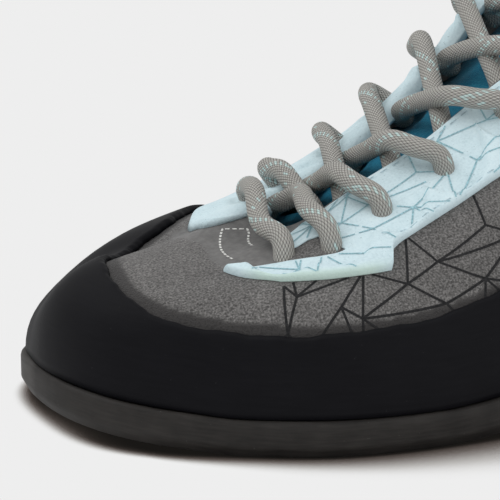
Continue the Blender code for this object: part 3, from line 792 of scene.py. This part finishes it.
# The lace: one round braided cord. A bar crosses at the toe end, then the two halves criss-cross: each
# comes up from under one facing, passes over the throat and goes down through the other's eyelet.
LACE = 0.0038
LACE_CLEAR = 0.0002
FACING_WIDTH = 0.0180
FACING = 0.0015
FACING_PINCH = 0.0016
FIRST_BAR = (1.80, 3.08, 1.27, 21.60, 21.20)
INNER_EYELET_DOWN = 0.42
CROSSING_ROWS = (
    # rounds of: up by inner edge, over outer edge, outer eyelet, its share down, over inner edge,
    # inner eyelet, down by outer edge
    (20.95, 3.14, 3.76, 1.22, 20.10, 19.72, 3.33),
    (19.90, 3.90, 4.38, 0.95, 19.20, 18.86, 3.92),
    (19.20, 4.71, 5.11, 0.75, 18.57, 18.27, 4.69),
    (18.44, 5.50, 5.85, 0.60, 17.89, 17.76, 5.35),
    (17.88, 6.23, 6.50, 0.56, 17.41, 17.30, 6.00),
    (17.32, 6.80, 7.08, 0.55, 16.86, 16.76, 6.60),
    (16.75, 7.38, 7.66, 0.55, 16.31, 16.22, 7.20),
)
LACE_PRESS = 0.66
LACE_SINK = 0.40
LACE_BOW = 0.0022
ROLL_YIELDS = 0.0005
EYELET_SHORT = 0.26
LACE_STEP = 0.00055
LACE_SIDES = 28
YARNS = 20
YARN_LENGTH = 0.00105
NEAR_TOP = 0.98


def smooth_route(points, steps):
    """A smooth curve through the points, with the given number of steps from each to the next."""
    points = np.asarray(points)
    padded = np.concatenate([[2 * points[0] - points[1]], points, [2 * points[-1] - points[-2]]])
    s = np.linspace(0, 1, steps, endpoint=False)[None, :, None]
    before, start, end, after = (padded[k:len(padded) - 3 + k, None] for k in range(4))
    route = cubic(s, start, (end - before) / 2, end, (after - start) / 2)
    return np.concatenate([route.reshape(-1, 3), points[-1:]])


def even_route(route, step):
    """The same line with its points an equal step apart."""
    run = run_along(route)
    stops = np.linspace(0, run[-1], int(run[-1] / step) + 1)
    return np.stack([np.interp(stops, run, column) for column in route.T], axis=1)


def square_to_throat(place):
    """Up and out from the throat at a place: midway between the ways out on its two sides."""
    return unit(outward(place, NEAR_TOP) + outward(ROUND - place, NEAR_TOP))


def beside_edge(place, across, lift):
    """A point across the throat from the top line, lifted square to the throat."""
    here = surface(place, 1.0)
    return here + unit(surface(ROUND - place, 1.0) - here) * across + square_to_throat(place) * lift


def over_edge_of(place, lift):
    """A point that clears the corner of a facing at the top line."""
    return surface(place, 1.0) + unit(square_to_throat(place) + outward(place, NEAR_TOP)) * lift


def over_facing(place, down_share, lift):
    """A point at a distance off the upper's skin where a facing covers it."""
    up = ups_down(np.array([place]), np.array([[down_share * FACING_WIDTH]]))[0]
    base = surface(np.array([place]), up)
    return (base + outward(np.array([place]), up) * lift)[0]


def stacked(over, under, up, apart):
    """The over strand's middle moved along up until the strands pass at the given distance."""
    for _ in range(4):
        between_ways = smooth_route(over, 8)[:, None] - smooth_route(under, 8)[None]
        height = between_ways @ up
        level = np.linalg.norm(between_ways - height[..., None] * up, axis=-1)
        nearest = np.unravel_index(level.argmin(), level.shape)
        over[1] = over[1] + up * max(apart - height[nearest], 0)
    return over


on_outer = GAP + FACING + LACE_CLEAR + LACE / 2
on_inner = GAP + FACING_PINCH + LACE_CLEAR + LACE / 2
on_roll = on_inner - ROLL_YIELDS
under_wall = -WALL - LACE * 0.55
beside = LACE / 2 + LACE_CLEAR
bar_edge, bar_outer, bar_down, bar_over, bar_inner = FIRST_BAR
bar = [
    over_facing(bar_inner, INNER_EYELET_DOWN * 0.3, on_inner - LACE / 2),
    over_edge_of(bar_over, on_roll - 0.0004),
    None,
    over_facing((bar_edge + bar_outer) / 2, bar_down / 2 - 0.05, on_outer),
    over_facing(bar_outer, bar_down - EYELET_SHORT - 0.08, on_outer - LACE * 0.4),
]
bar[2] = (bar[1] + bar[3]) / 2 + np.array([0, 0, LACE_BOW])

# Each crossing has an over strand, towards the outer side, and an under strand.
overs = []
unders = []
for row in CROSSING_ROWS:
    inner_edge, over_edge, outer_eyelet, outer_down, inner_over, inner_eyelet, outer_edge = row
    up = unit(outward(inner_over, NEAR_TOP) + outward(outer_edge, NEAR_TOP))
    over = [
        beside_edge(inner_edge, beside, -LACE * LACE_SINK),
        None,
        over_edge_of(over_edge, on_outer),
        over_facing((over_edge + outer_eyelet) / 2, outer_down / 2 - 0.08, on_outer),
        over_facing(outer_eyelet, outer_down - EYELET_SHORT, on_outer - LACE * 0.4),
    ]
    under = [
        beside_edge(outer_edge, beside, -LACE * LACE_SINK),
        None,
        over_edge_of(inner_over, on_roll),
        over_facing((inner_over + inner_eyelet) / 2, INNER_EYELET_DOWN / 2, on_inner),
        over_facing(inner_eyelet, INNER_EYELET_DOWN, on_inner),
    ]
    over[1] = (over[0] + over[2]) / 2
    under[1] = (under[0] + under[2]) / 2
    overs.append(stacked(over, under, up, LACE_PRESS * LACE))
    unders.append(under)


def inside(place, down_share, next_place):
    """The lace's way from an eyelet, between the upper and the tongue, to where it comes out again."""
    return [
        over_facing(place, down_share - EYELET_SHORT * 0.6, under_wall),
        over_facing((place + next_place) / 2, down_share * 0.45, under_wall),
    ]


def half_of_lace(first_place, first_down, starts_outer):
    """One half, from the bar's end to the top eyelets: it changes sides at each crossing."""
    points = []
    place, down, outer = first_place, first_down, starts_outer
    for number, row in enumerate(CROSSING_ROWS):
        inner_edge, _, outer_eyelet, outer_down, _, inner_eyelet, outer_edge = row
        points += inside(place, down, outer_edge if outer else inner_edge)
        points += unders[number] if outer else overs[number]
        place, down = (inner_eyelet, INNER_EYELET_DOWN) if outer else (outer_eyelet, outer_down)
        outer = not outer
    return points + [over_facing(place, down + 0.02, under_wall)]


near_half = half_of_lace(bar_outer, bar_down, True)
far_half = half_of_lace(bar_inner, INNER_EYELET_DOWN * 0.4, False)
lace_route = even_route(smooth_route(far_half[::-1] + bar + near_half, 12), LACE_STEP)
for _ in range(10):
    lace_route[1:-1] = (lace_route[:-2] + 2 * lace_route[1:-1] + lace_route[2:]) / 4


def tube(name, route, diameter, sides, finish):
    """A round cord along a route, each ring square to it and turned as little as can be. Its flow runs
    once round the cord, and along it in metres."""
    heading = unit(np.gradient(route, axis=0))
    side = unit(np.cross(heading[0], (0.3, 0.2, 1.0)))
    rings = []
    for way in heading:
        side = unit(side - way * np.dot(side, way))
        rings.append(side)
    first = np.array(rings)[:, None]
    second = np.cross(heading[:, None], first)
    turns = np.linspace(0, 2 * np.pi, sides + 1)[None, :, None]
    points = route[:, None] + (first * np.cos(turns) + second * np.sin(turns)) * diameter / 2
    flow = np.stack(np.broadcast_arrays(turns[..., 0] / (2 * np.pi), run_along(route)[:, None]), axis=-1)
    made = skin(name, points - CENTRE, grid_faces(len(route), sides + 1)[:, ::-1], finish, flow)
    mend(made, 0.000001, True)
    return made


def lace_finish():
    """A braid in taupe, whose two pairs of pale mint yarns show as flecks each way round. Its colour darkens
    from each yarn's top into the gaps between yarns, a painted shade.
    """
    finish = new_finish("cord", (0.30, 0.28, 0.25), 0.75, 0.3)
    parts = node(finish, "ShaderNodeSeparateXYZ", {0: flow_of(finish)})
    round_way = maths(finish, "MULTIPLY", parts.outputs[0], YARNS)
    along = maths(finish, "DIVIDE", parts.outputs[1], YARN_LENGTH)
    right = maths(finish, "ADD", round_way, along)
    left = maths(finish, "SUBTRACT", round_way, along)
    domes = []
    for way in (right, left):
        off_middle = maths(finish, "SUBTRACT", maths(finish, "FRACT", way), 0.5)
        square = maths(finish, "MULTIPLY", off_middle, maths(finish, "MULTIPLY", off_middle, 4))
        domes.append(maths(finish, "SUBTRACT", 1.0, square))
    height = maths(finish, "POWER", maths(finish, "MULTIPLY", domes[0], domes[1]), 0.6)
    fibres = spots(finish, 0.00022, 2)
    height = maths(finish, "MULTIPLY_ADD", fibres, 0.2, maths(finish, "MULTIPLY", height, 0.85))
    # Painted shade: the colour follows the braid's height, dark in the gaps between yarns and light on their
    # tops.
    colour = blend_of(finish, height, (
        (0.14, (0.105, 0.101, 0.094)),
        (0.40, (0.385, 0.374, 0.348)),
        (0.95, (0.545, 0.534, 0.502)),
    ))
    flecks = []
    for way, other_way, apart in ((right, left, 2.0), (left, right, 4.0)):
        yarn = maths(finish, "FLOORED_MODULO", maths(finish, "FLOOR", way), YARNS)
        crossed = maths(finish, "FLOORED_MODULO", maths(finish, "FLOOR", other_way), apart)
        is_pale = maths(finish, "LESS_THAN", yarn, 1.5)
        flecks.append(maths(finish, "MULTIPLY", is_pale, maths(finish, "LESS_THAN", crossed, 0.5)))
    fleck = maths(finish, "MAXIMUM", *flecks)
    # The pale flecks are given the same painted shade in the gaps.
    pale = blend_of(finish, height, ((0.10, (0.20, 0.27, 0.26)), (0.6, (0.62, 0.77, 0.75))))
    dress(finish, Base_Color=mixed(finish, fleck, colour, pale),
          Normal=raise_by(finish, height, 0.0003))
    return finish


lace = tube("lace_run", lace_route, LACE, LACE_SIDES, lace_finish())
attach(lace, "root")
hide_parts("lace_bar", *[f"lace_crossing_{number + 1}" for number in range(len(CROSSING_ROWS))])


def pressed(points, out, clear):
    """How far points must sink along out so that the lace, with some clearance, lies over them. It
    fades away beside the lace."""
    lace_points = lace_route[::2]
    height = out @ lace_points.T - (out * points).sum(-1)[..., None]
    level = np.sqrt(np.maximum(squares_to(points, lace_points) - height**2, 0))
    beside_lace = ease(1 - (level - LACE / 2) / (LACE * 1.3))
    sink = (LACE / 2 + clear - height) * beside_lace * (height > -LACE * 2)
    return np.maximum(sink.max(axis=-1), 0)


# The tongue: a flap of teal microsuede over thin foam, sewn in under the base of the throat. It lies
# bowed under the facings, and the lace presses channels into it.
TONGUE = 0.0022
TONGUE_OVERLAP = 0.0100
TONGUE_RISE = 0.0180
TONGUE_SINK = 0.0026
TONGUE_BOW = 0.15
TONGUE_EDGE = 0.002
TONGUE_WIDTH = 0.045
STOP_APART = 0.0009  # how far apart the stops are along the tongue
TONGUE_STOPS = 110
TONGUE_ACROSS = 61


def tongue_section(places, depth, across):
    """Bows across the shoe under the facings, from wall to wall inside the upper."""
    sides = np.stack([places, ROUND - places])
    ups = ups_down(sides.ravel(), np.full((sides.size, 1), TONGUE_OVERLAP)).reshape(sides.shape)
    feet = surface(sides, ups) - outward(sides, ups) * depth[:, None]
    above = np.minimum(ups + 0.02, 1)
    rise = surface(sides, above) - outward(sides, above) * depth[:, None] - feet
    pull = unit(rise) * np.linalg.norm(feet[0] - feet[1], axis=-1)[:, None] * TONGUE_BOW
    left, right = feet[0][:, None], feet[1][:, None]
    return bezier(across[None, :, None], left, left + pull[0][:, None], right + pull[1][:, None], right)


def tongue_finish():
    """Teal microsuede: short fibres, brushed lighter and darker."""
    finish = new_finish("tongue_suede", (0.010, 0.19, 0.31), 0.9, 0.1, Sheen_Weight=0.15)
    fibres = spots(finish, 0.00035, 3)
    brushed = spots(finish, 0.006, 3)
    share = weighed(finish, brushed, 0.45, fibres)
    colour = blend_of(finish, share, (
        (0.30, (0.004, 0.100, 0.180)),
        (0.50, (0.010, 0.195, 0.320)),
        (0.72, (0.030, 0.300, 0.440)),
    ))
    dress(finish, Base_Color=colour, Normal=raise_by(finish, fibres, 0.00018))
    return finish


tongue_stops = np.linspace(1.0, 8.2, TONGUE_STOPS)
across_shares = np.linspace(0, 1, TONGUE_ACROSS)
tongue_depths = WALL + 2 * GAP + np.interp(tongue_stops, (1, 5), (TONGUE_SINK, TONGUE_SINK / 4))
tongue_grid = tongue_section(tongue_stops, tongue_depths, across_shares)

# The free end: the last bow carried on, a little narrower and rounded at its corners.
tip_shares = np.linspace(0, 1, 22)[1:, None, None]
last_bow = tongue_grid[-1]
bow_middle = last_bow.mean(axis=0)
tip_way = unit(last_bow[TONGUE_ACROSS // 2] - tongue_grid[-10][TONGUE_ACROSS // 2])
from_side = np.abs(across_shares * 2 - 1)[None, :, None]
tip = (
    bow_middle
    + (last_bow - bow_middle) * (1 - 0.25 * tip_shares**2)
    + tip_way * TONGUE_RISE * tip_shares * (1 - 0.22 * from_side**4)
)

# The top sinks under the lace, and the underside follows it, thinner towards every edge.
tongue_top = np.concatenate([tongue_grid, tip])
tongue_out = unit(np.cross(np.gradient(tongue_top, axis=0), np.gradient(tongue_top, axis=1)))
tongue_out *= np.sign(tongue_out[..., 2].mean())
tongue_top = tongue_top - tongue_out * pressed(tongue_top, tongue_out, 0.0001)[..., None]
edge_run = np.minimum(across_shares, 1 - across_shares) * TONGUE_WIDTH
full = TONGUE * (0.25 + 0.75 * round_over(edge_run, TONGUE_EDGE))
stop_numbers = np.arange(len(tongue_top))
end_run = np.minimum(stop_numbers, stop_numbers[::-1]) * STOP_APART
thick = full[None, :] * (0.25 + 0.75 * round_over(end_run, TONGUE_EDGE))[:, None]
tongue_low = tongue_top - tongue_out * thick[..., None]
tongue_points = np.concatenate([tongue_top, tongue_low[:, ::-1]], axis=1)
tongue_faces = grid_faces(len(tongue_points), 2 * TONGUE_ACROSS, False, True)
tongue = skin("tongue_flap", tongue_points - CENTRE, tongue_faces, tongue_finish())
mend(tongue, turn=True)
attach(tongue, "root")
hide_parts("tongue")

# The outer facing: pale blue leather 1.5 mm thick, glued and sewn beside the throat, with punched
# eyelets. Its toe end forks round a window of bare suede, and it steps in behind the fork.
OUTER_FACING_ROWS = (
    # round, top edge, window top, window base, lower edge
    (2.32, 0.60, 0.60, 1.32, 1.33),
    (2.50, 0.60, 0.60, 1.28, 1.38),
    (2.72, 0.60, 0.60, 1.24, 1.43),
    (2.95, 0.50, 0.60, 1.21, 1.47),
    (3.10, 0.26, 0.90, 1.20, 1.50),
    (3.22, 0.20, 0.94, 1.19, 1.53),
    (3.45, 0.15, 0.83, 1.19, 1.55),
    (3.62, 0.12, 0.82, 1.20, 1.56),
    (3.80, 0.10, 0.97, 1.20, 1.57),
    (3.96, 0.08, 1.17, 1.17, 1.57),
    (4.15, 0.05, 0.85, 0.85, 1.57),
    (4.38, 0.04, 0.80, 0.80, 1.57),
    (4.42, 0.04, 0.76, 0.76, 1.32),
    (4.60, 0.04, 0.72, 0.72, 1.21),
    (5.05, 0.04, 0.60, 0.60, 1.07),
    (5.50, 0.04, 0.55, 0.55, 1.00),
    (6.20, 0.04, 0.50, 0.50, 0.97),
    (7.20, 0.04, 0.50, 0.50, 0.95),
    (8.25, 0.04, 0.50, 0.50, 0.92),
)
FORK_ROUND = 2.97
FACING_EDGE = 0.0006
WINDOW_SOFT = 0.0008
GLUE_SHOWS = 0.0016
OUTER_ROUND = 0.012  # how far one round is along the facing
FACING_STEPS = 560
BAND_SHARES = (1 - np.cos(np.linspace(0, np.pi, 13))) / 2


def facing_finish(name):
    """Pale blue nubuck: very fine grain, faint pores, greyer in its dips and greenish at glued edges."""
    finish = new_finish(name, (0.62, 0.77, 0.82), 0.72, 0.2)
    grain = spots(finish, 0.0005, 4)
    tone = spots(finish, 0.007, 3)
    pores = maths(finish, "LESS_THAN", spots(finish, 0.00045, 1), 0.27)
    share = weighed(finish, tone, 0.5, grain)
    colour = blend_of(finish, share, (
        (0.30, (0.53, 0.68, 0.73)),
        (0.50, (0.64, 0.79, 0.84)),
        (0.70, (0.70, 0.84, 0.88)),
    ))
    colour = mixed(finish, maths(finish, "MULTIPLY", pores, 0.5), colour, (0.30, 0.42, 0.46))
    colour = mixed(finish, mask_of(finish, "glued"), colour, (0.60, 0.78, 0.66))
    dress(finish, Base_Color=colour, Normal=raise_by(finish, grain, 0.00012))
    return finish


def plate(name, outer, inner, keep, finish, masks=None):
    """A closed plate between two point grids over the kept cells, with walls where the cells end."""
    rows, columns = outer.shape[:2]
    number = np.arange(rows * columns).reshape(rows, columns)
    low = rows * columns
    corners = np.stack([number[:-1, :-1], number[1:, :-1], number[1:, 1:], number[:-1, 1:]], axis=-1)
    faces = [corners[keep], corners[keep][:, ::-1] + low]
    ringed = np.pad(keep, 1)
    neighbours = (ringed[1:-1, :-2], ringed[2:, 1:-1], ringed[1:-1, 2:], ringed[:-2, 1:-1])
    for side, neighbour in enumerate(neighbours):
        start, end = corners[..., side], corners[..., (side + 1) % 4]
        bare = keep & ~neighbour
        walls = np.stack([end, start, start + low, end + low], axis=-1)
        faces.append(walls[bare])
    points = np.concatenate([outer.reshape(-1, 3), inner.reshape(-1, 3)])
    if masks:
        masks = {mask: np.concatenate([values.ravel()] * 2) for mask, values in masks.items()}
    made = skin(name, points - CENTRE, np.concatenate(faces), finish, masks=masks)
    work = bmesh.new()
    work.from_mesh(made.data)
    bmesh.ops.remove_doubles(work, verts=work.verts[:], dist=0.000002)
    bmesh.ops.dissolve_degenerate(work, edges=work.edges[:], dist=0.000002)
    seen = {}
    for face in work.faces:
        seen.setdefault(frozenset(corner.index for corner in face.verts), []).append(face)
    twins = [face for same in seen.values() if len(same) > 1 for face in same]
    bmesh.ops.delete(work, geom=twins, context="FACES")
    loose = [vertex for vertex in work.verts if not vertex.link_faces]
    bmesh.ops.delete(work, geom=loose, context="VERTS")
    work.to_mesh(made.data)
    work.free()
    return made


def column_of(table, places, column):
    """A column of a facing's table at the places, smooth from row to row."""
    rows = sorted((row[0], row[column]) for row in table)
    return rise_between(rows, places)


def facing_edges(places):
    """The outer facing's top edge, window and lower edge at the places, as distances down."""
    return [column_of(OUTER_FACING_ROWS, places, column) * FACING_WIDTH for column in (1, 2, 3, 4)]


outer_places = np.linspace(OUTER_FACING_ROWS[0][0], OUTER_FACING_ROWS[-1][0], FACING_STEPS)[:, None]
facing_top, window_top, window_base, facing_low = facing_edges(outer_places)
opening = window_base - window_top
meeting = (window_top + window_base) / 2
window_top = np.where(opening < GAP, meeting, window_top)
window_base = np.where(opening < GAP, meeting, window_base)
lower_band = (window_base + (facing_low - window_base) * BAND_SHARES)[:, ::-1]
upper_band = (facing_top + (window_top - facing_top) * BAND_SHARES)[:, ::-1]
facing_downs = np.concatenate([lower_band, upper_band], axis=1)
to_window = np.concatenate([lower_band - window_base, window_top - upper_band], axis=1)

# Its thickness is rounded at every cut edge, and round the window.
from_base = facing_low - facing_downs
body = round_over(np.minimum(facing_downs - facing_top, from_base), FACING_EDGE)
body *= round_over((outer_places[-1] - outer_places) * OUTER_ROUND, FACING_EDGE)
body *= 1 - ease(opening / WINDOW_SOFT) * (1 - round_over(to_window, FACING_EDGE))
facing_ups = ups_down(outer_places[:, 0], facing_downs)
facing_places = np.broadcast_to(outer_places, facing_ups.shape)
facing_base = lifted(facing_places, facing_ups, GAP * 0.3)
facing_out = outward(facing_places, facing_ups)
facing_sink = pressed(facing_base + facing_out * FACING, facing_out, 0.0)
facing_height = np.maximum(FACING * body - facing_sink, FACING * 0.12 * (body > 0))
facing_outer = facing_base + facing_out * (facing_height + GAP * 0.3)[..., None]

# The cells that are cut away: the window between the bands, and the upper band before the fork.
facing_keep = np.ones((FACING_STEPS - 1, facing_ups.shape[1] - 1), bool)
facing_keep[:, len(BAND_SHARES) - 1] = False
facing_keep[:, len(BAND_SHARES):] &= outer_places[:-1] > FORK_ROUND
glued_stretch = ease((outer_places - 2.55) / 0.5) * ease((4.45 - outer_places) / 0.3)
glued = ease(1 - from_base / GLUE_SHOWS) * glued_stretch * 0.65
facing_outer_finish = facing_finish("facing_leather")
facing_lateral = plate(
    "facing_outer", facing_outer, facing_base, facing_keep, facing_outer_finish, {"glued": glued},
)
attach(facing_lateral, "root")
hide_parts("facing_lateral")

# The inner facing: the same leather folded over a cord of foam along the throat's edge, and glued
# down outside. The lace pinches the roll, and it swells between the crossings.
INNER_FACING_ROWS = (
    # round, lower edge
    (24.25, 0.32),
    (24.12, 0.50),
    (23.98, 0.62),
    (23.80, 0.69),
    (23.50, 0.72),
    (22.60, 0.72),
    (21.60, 0.74),
    (20.40, 0.82),
    (19.20, 0.88),
    (18.00, 0.92),
    (17.00, 0.94),
    (15.75, 0.92),
)
ROLL = 0.0021
ROLL_IN = 0.0007
ROLL_PUFF = 0.0005
INNER_LEATHER = 0.0014
INNER_EDGE = 0.0011
INNER_ROUND = 0.009  # how far one round is along the facing
ROLL_END = 0.0060
PINCH_REACH = 0.0040
FLAT_COLUMNS = 16
ROLL_COLUMNS = 22

# How thick it is along its length: it tapers at both ends, and the roll is thin under each lace.
inner_places = np.linspace(INNER_FACING_ROWS[-1][0], INNER_FACING_ROWS[0][0], FACING_STEPS)
inner_base = column_of(INNER_FACING_ROWS, inner_places, 1)[:, None] * FACING_WIDTH
to_ends = np.minimum(inner_places - inner_places[0], inner_places[-1] - inner_places) * INNER_ROUND
swell = round_over(to_ends, ROLL_END)[:, None]
edge_line = surface(inner_places, 1.0)
edge_out = outward(inner_places, NEAR_TOP)
lace_near = near_line(edge_line + edge_out * ROLL, lace_route[::3], PINCH_REACH, 1.0)[:, None]
radius = (ROLL * 0.94 + ROLL_PUFF * (1 - ease(lace_near * 1.5))) * (0.35 + 0.65 * swell)

# The flat leather, from its lower edge up to the roll.
below = radius * 1.35
flat_shares = np.linspace(0, 1, FLAT_COLUMNS, endpoint=False)[None, :] ** 0.8
flat_downs = inner_base + (below - inner_base) * flat_shares
flat_ups = ups_down(inner_places, flat_downs)
flat_grid = np.broadcast_to(inner_places[:, None], flat_ups.shape)
flat_skin = lifted(flat_grid, flat_ups, GAP * 0.3)
flat_out = outward(flat_grid, flat_ups)
leather = INNER_LEATHER * round_over(inner_base - flat_downs, INNER_EDGE) * (0.3 + 0.7 * swell)

# The roll: arcs about a line along the throat's edge, over its top and down inside.
turns = np.linspace(-0.75, 3.5, ROLL_COLUMNS)[None, :]
edge_up = unit(edge_line - surface(inner_places, 0.97))
edge_in = np.cross(np.gradient(edge_line, axis=0), edge_up)
edge_in = unit(edge_in) * np.sign((edge_in * edge_out).sum(-1))[:, None]
roll_middle = edge_line - edge_in * ROLL_IN
roll_out = edge_in[:, None] * np.cos(turns)[..., None] + edge_up[:, None] * np.sin(turns)[..., None]
roll_outer, roll_skin = (roll_middle[:, None] + roll_out * radius[..., None] * share
                         for share in (1, 0.2))

# Both together, pressed down where the lace crosses them.
inner_skin = np.concatenate([flat_skin, roll_skin], axis=1)
inner_outer = np.concatenate([flat_skin + flat_out * leather[..., None], roll_outer], axis=1)
inner_out = np.concatenate([flat_out, roll_out], axis=1)
press_way = np.broadcast_to(unit(edge_in + edge_up)[:, None], inner_out.shape)
yields = ease((inner_out * press_way).sum(-1) + 0.2)
inner_sink = np.minimum(pressed(inner_outer, press_way, -0.0002), ROLL * 0.5) * yields
inner_outer = inner_outer - press_way * inner_sink[..., None]
inner_cells = np.ones((FACING_STEPS - 1, FLAT_COLUMNS + ROLL_COLUMNS - 1), bool)
facing_medial = plate(
    "facing_inner", inner_outer[:, ::-1], inner_skin[:, ::-1], inner_cells, facing_outer_finish,
    {"glued": np.zeros(inner_outer.shape[:2])},
)
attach(facing_medial, "root")
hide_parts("facing_medial")

# The pattern: thin straight lines joined into a loose net, screened black on the outer suede and teal
# on the facing. The layout is this shoe's own: a staggered lattice with its nodes moved by sines.
# Each net has its columns and rows, its first round and the rounds between its nodes, and its first
# distance down and the distance between.
SUEDE_NET = (13, 7, 3.15, 0.44, 0.0165, 0.0066)
FACING_NET = (12, 6, 2.20, 0.55, -0.0010, 0.006072)
NET_WANDER = 0.34
LINE_STEPS = 40
SUEDE_LINE = 0.00045
FACING_LINE = 0.0003
LINE_LIFT = 0.00005


def net_of(columns, rows, first_round, round_step, first_down, down_step):
    """Straight stretches of a staggered net, about one in five left out: the places along each, and
    their distances down."""
    i, j = (grid.ravel() for grid in np.meshgrid(np.arange(columns), np.arange(rows), indexing="ij"))
    across = i + 0.5 * (j % 2) + NET_WANDER * np.sin(i * 2.3 + j * 4.1 + 0.4)
    down = j + NET_WANDER * np.sin(i * 3.7 - j * 1.9 + 1.1)
    nodes = np.stack([across, down], axis=-1).reshape(columns, rows, 2)
    stretches = []
    for i in range(columns - 1):
        for j in range(rows):
            ends = [(i + 1, j)]
            if j + 1 < rows:
                ends += [(i, j + 1), (i + 1, j + 1) if j % 2 else (i - 1, j + 1)]
            for number, (to_i, to_j) in enumerate(ends):
                if to_i >= 0 and np.sin(i * 5.3 + j * 7.9 + number * 2.6) > -0.72:
                    stretches.append((nodes[i, j], nodes[to_i, to_j]))
    start, end = np.array(stretches)[:, None].transpose(2, 0, 1, 3)
    net = start + (end - start) * np.linspace(0, 1, LINE_STEPS)[None, :, None]
    return first_round + net[..., 0] * round_step, first_down + net[..., 1] * down_step


def ribbons(name, points, out, keep, width, finish):
    """Narrow flat bands along rows of points, with a quad at each step that is kept."""
    side = unit(np.cross(out, np.gradient(points, axis=1))) * width / 2
    strips = np.stack([points - side, points + side], axis=2)
    number = np.arange(strips[..., 0].size).reshape(strips.shape[:3])
    faces = np.stack([number[:, :-1, 0], number[:, 1:, 0], number[:, 1:, 1], number[:, :-1, 1]], axis=-1)
    used, faces = np.unique(faces[keep], return_inverse=True)
    made = skin(name, strips.reshape(-1, 3)[used] - CENTRE, faces.reshape(-1, 4), finish)
    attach(made, "root")
    return made


def both_ends(mask):
    """Keeps the steps whose two ends are both inside."""
    return mask[:, :-1] & mask[:, 1:]


def ups_at(places, downs):
    """The up value at one distance down from the top line at each place."""
    return ups_down(places.ravel(), downs.reshape(-1, 1)).reshape(places.shape)


def on_skin(places, downs, lift):
    """Points a little off the upper's skin, and the way out from it."""
    ups = ups_at(places, downs)
    return lifted(places, ups, lift), outward(places, ups)


def line_finish(name, colour):
    """Screened ink, a little glossier than the nap, thin where the grain stands up."""
    finish = new_finish(name, colour, 0.7, 0.2)
    grain = spots(finish, 0.0004, 3)
    pale = tuple(min(part * 1.6 + 0.01, 1) for part in colour)
    dress(finish, Base_Color=blend_of(finish, grain, ((0.4, colour), (0.72, pale))),
          Normal=raise_by(finish, grain, 0.0001))
    return finish


line_places, line_downs = net_of(*SUEDE_NET)
below_facing = line_downs > facing_edges(line_places)[3]
above_rand = ups_at(line_places, line_downs) > rand_reach(line_places) - 0.01
in_field = (line_places > 3.2) & (line_places < 8.2)
ribbons(
    "suede_lines", *on_skin(line_places, line_downs, LINE_LIFT),
    both_ends(below_facing & above_rand & in_field), SUEDE_LINE,
    line_finish("pattern_black", (0.010, 0.010, 0.011)),
)


def on_facing(places, downs, lift):
    """Points on the outer facing's face, which sinks under the lace, and the way out from it."""
    ups = ups_at(places, downs)
    out = outward(places, ups)
    base = lifted(places, ups, GAP * 0.6)
    height = np.maximum(FACING - pressed(base + out * FACING, out, 0.0), FACING * 0.15)
    return base + out * (height + lift)[..., None], out


line_places, line_downs = net_of(*FACING_NET)
facing_top, window_top, window_base, facing_low = facing_edges(line_places)
face_top = np.where(line_places > FORK_ROUND, facing_top, window_base) + FACING_EDGE
on_face = (line_downs > face_top) & (line_downs < facing_low - FACING_EDGE)
on_face &= (line_places > 2.45) & (line_places < 8.2)
on_face &= (line_downs < window_top - FACING_EDGE) | (line_downs > window_base + FACING_EDGE)
ribbons(
    "facing_lines", *on_facing(line_places, line_downs, LINE_LIFT), both_ends(on_face), FACING_LINE,
    line_finish("pattern_teal", (0.25, 0.42, 0.47)),
)

# The stitches: pale thread sunk in slits along the facing, coloured darker as the painted shade of the slits,
# white dashes round the sewn patch at the toe end of the throat, and two grey rows round the collar.
STITCH_IN = 0.0012
STITCH_STEP = 0.0001
PATCH_LIFT = 0.0001
# Each stitch has its pitch, its length and the width of its thread.
SLIT = (0.0027, 0.0015, 0.00028)
DASH = (0.00125, 0.0008, 0.0004)
COLLAR_STITCH = (0.0030, 0.0021, 0.0004)
SEAM_STEPS = 120
COLLAR_ROWS = (0.0030, 0.0052)
PATCH_CORNERS = (
    # round, distance down
    (2.20, 0.0188),
    (0.45, 0.0102),
    (1.00, 0.0065),
    (1.30, 0.0072),
    (2.25, 0.0123),
)


def sewn(name, places, downs, stitch, finish, laid=on_skin, lift=LINE_LIFT):
    """Stitches of one length and pitch along a seam, each a narrow band laid on its piece."""
    pitch, length, width = stitch
    run = run_along(surface(places, ups_at(places, downs)))[0]
    stops = np.arange(0, run[-1], STITCH_STEP)
    even = [np.interp(stops, run, row[0])[None] for row in (places, downs)]
    ribbons(name, *laid(*even, lift), (stops[:-1] % pitch < length)[None], width, finish)


def seam_of(rows):
    """The places and distances down of a seam whose corners are given, straight between them."""
    share = np.linspace(0, len(rows) - 1, 60 * (len(rows) - 1) + 1)
    return [np.interp(share, np.arange(len(rows)), column)[None] for column in np.array(rows).T]


# Painted shade: the thread in the slits is the facing's own pale blue, darkened here to the shade of the
# slits it lies in.
slit_shade_finish = line_finish("facing_slit_shade", (0.36, 0.48, 0.53))
for name, start, column, inward in (("top", 3.2, 0, STITCH_IN), ("low", 4.5, 3, -STITCH_IN)):
    places = np.linspace(start, 8.2, SEAM_STEPS)[None]
    downs = facing_edges(places)[column] + inward
    sewn(f"facing_{name}_stitches", places, downs, SLIT, slit_shade_finish, on_facing)
thread_finish = line_finish("thread_white", (0.62, 0.62, 0.60))
sewn("patch_stitches", *seam_of(PATCH_CORNERS), DASH, thread_finish, lift=PATCH_LIFT)
collar_finish = line_finish("thread_grey", (0.10, 0.10, 0.10))
for number, down in enumerate(COLLAR_ROWS):
    seam = seam_of(((8.5, down), (15.5, down)))
    sewn(f"collar_stitches_{number + 1}", *seam, COLLAR_STITCH, collar_finish)
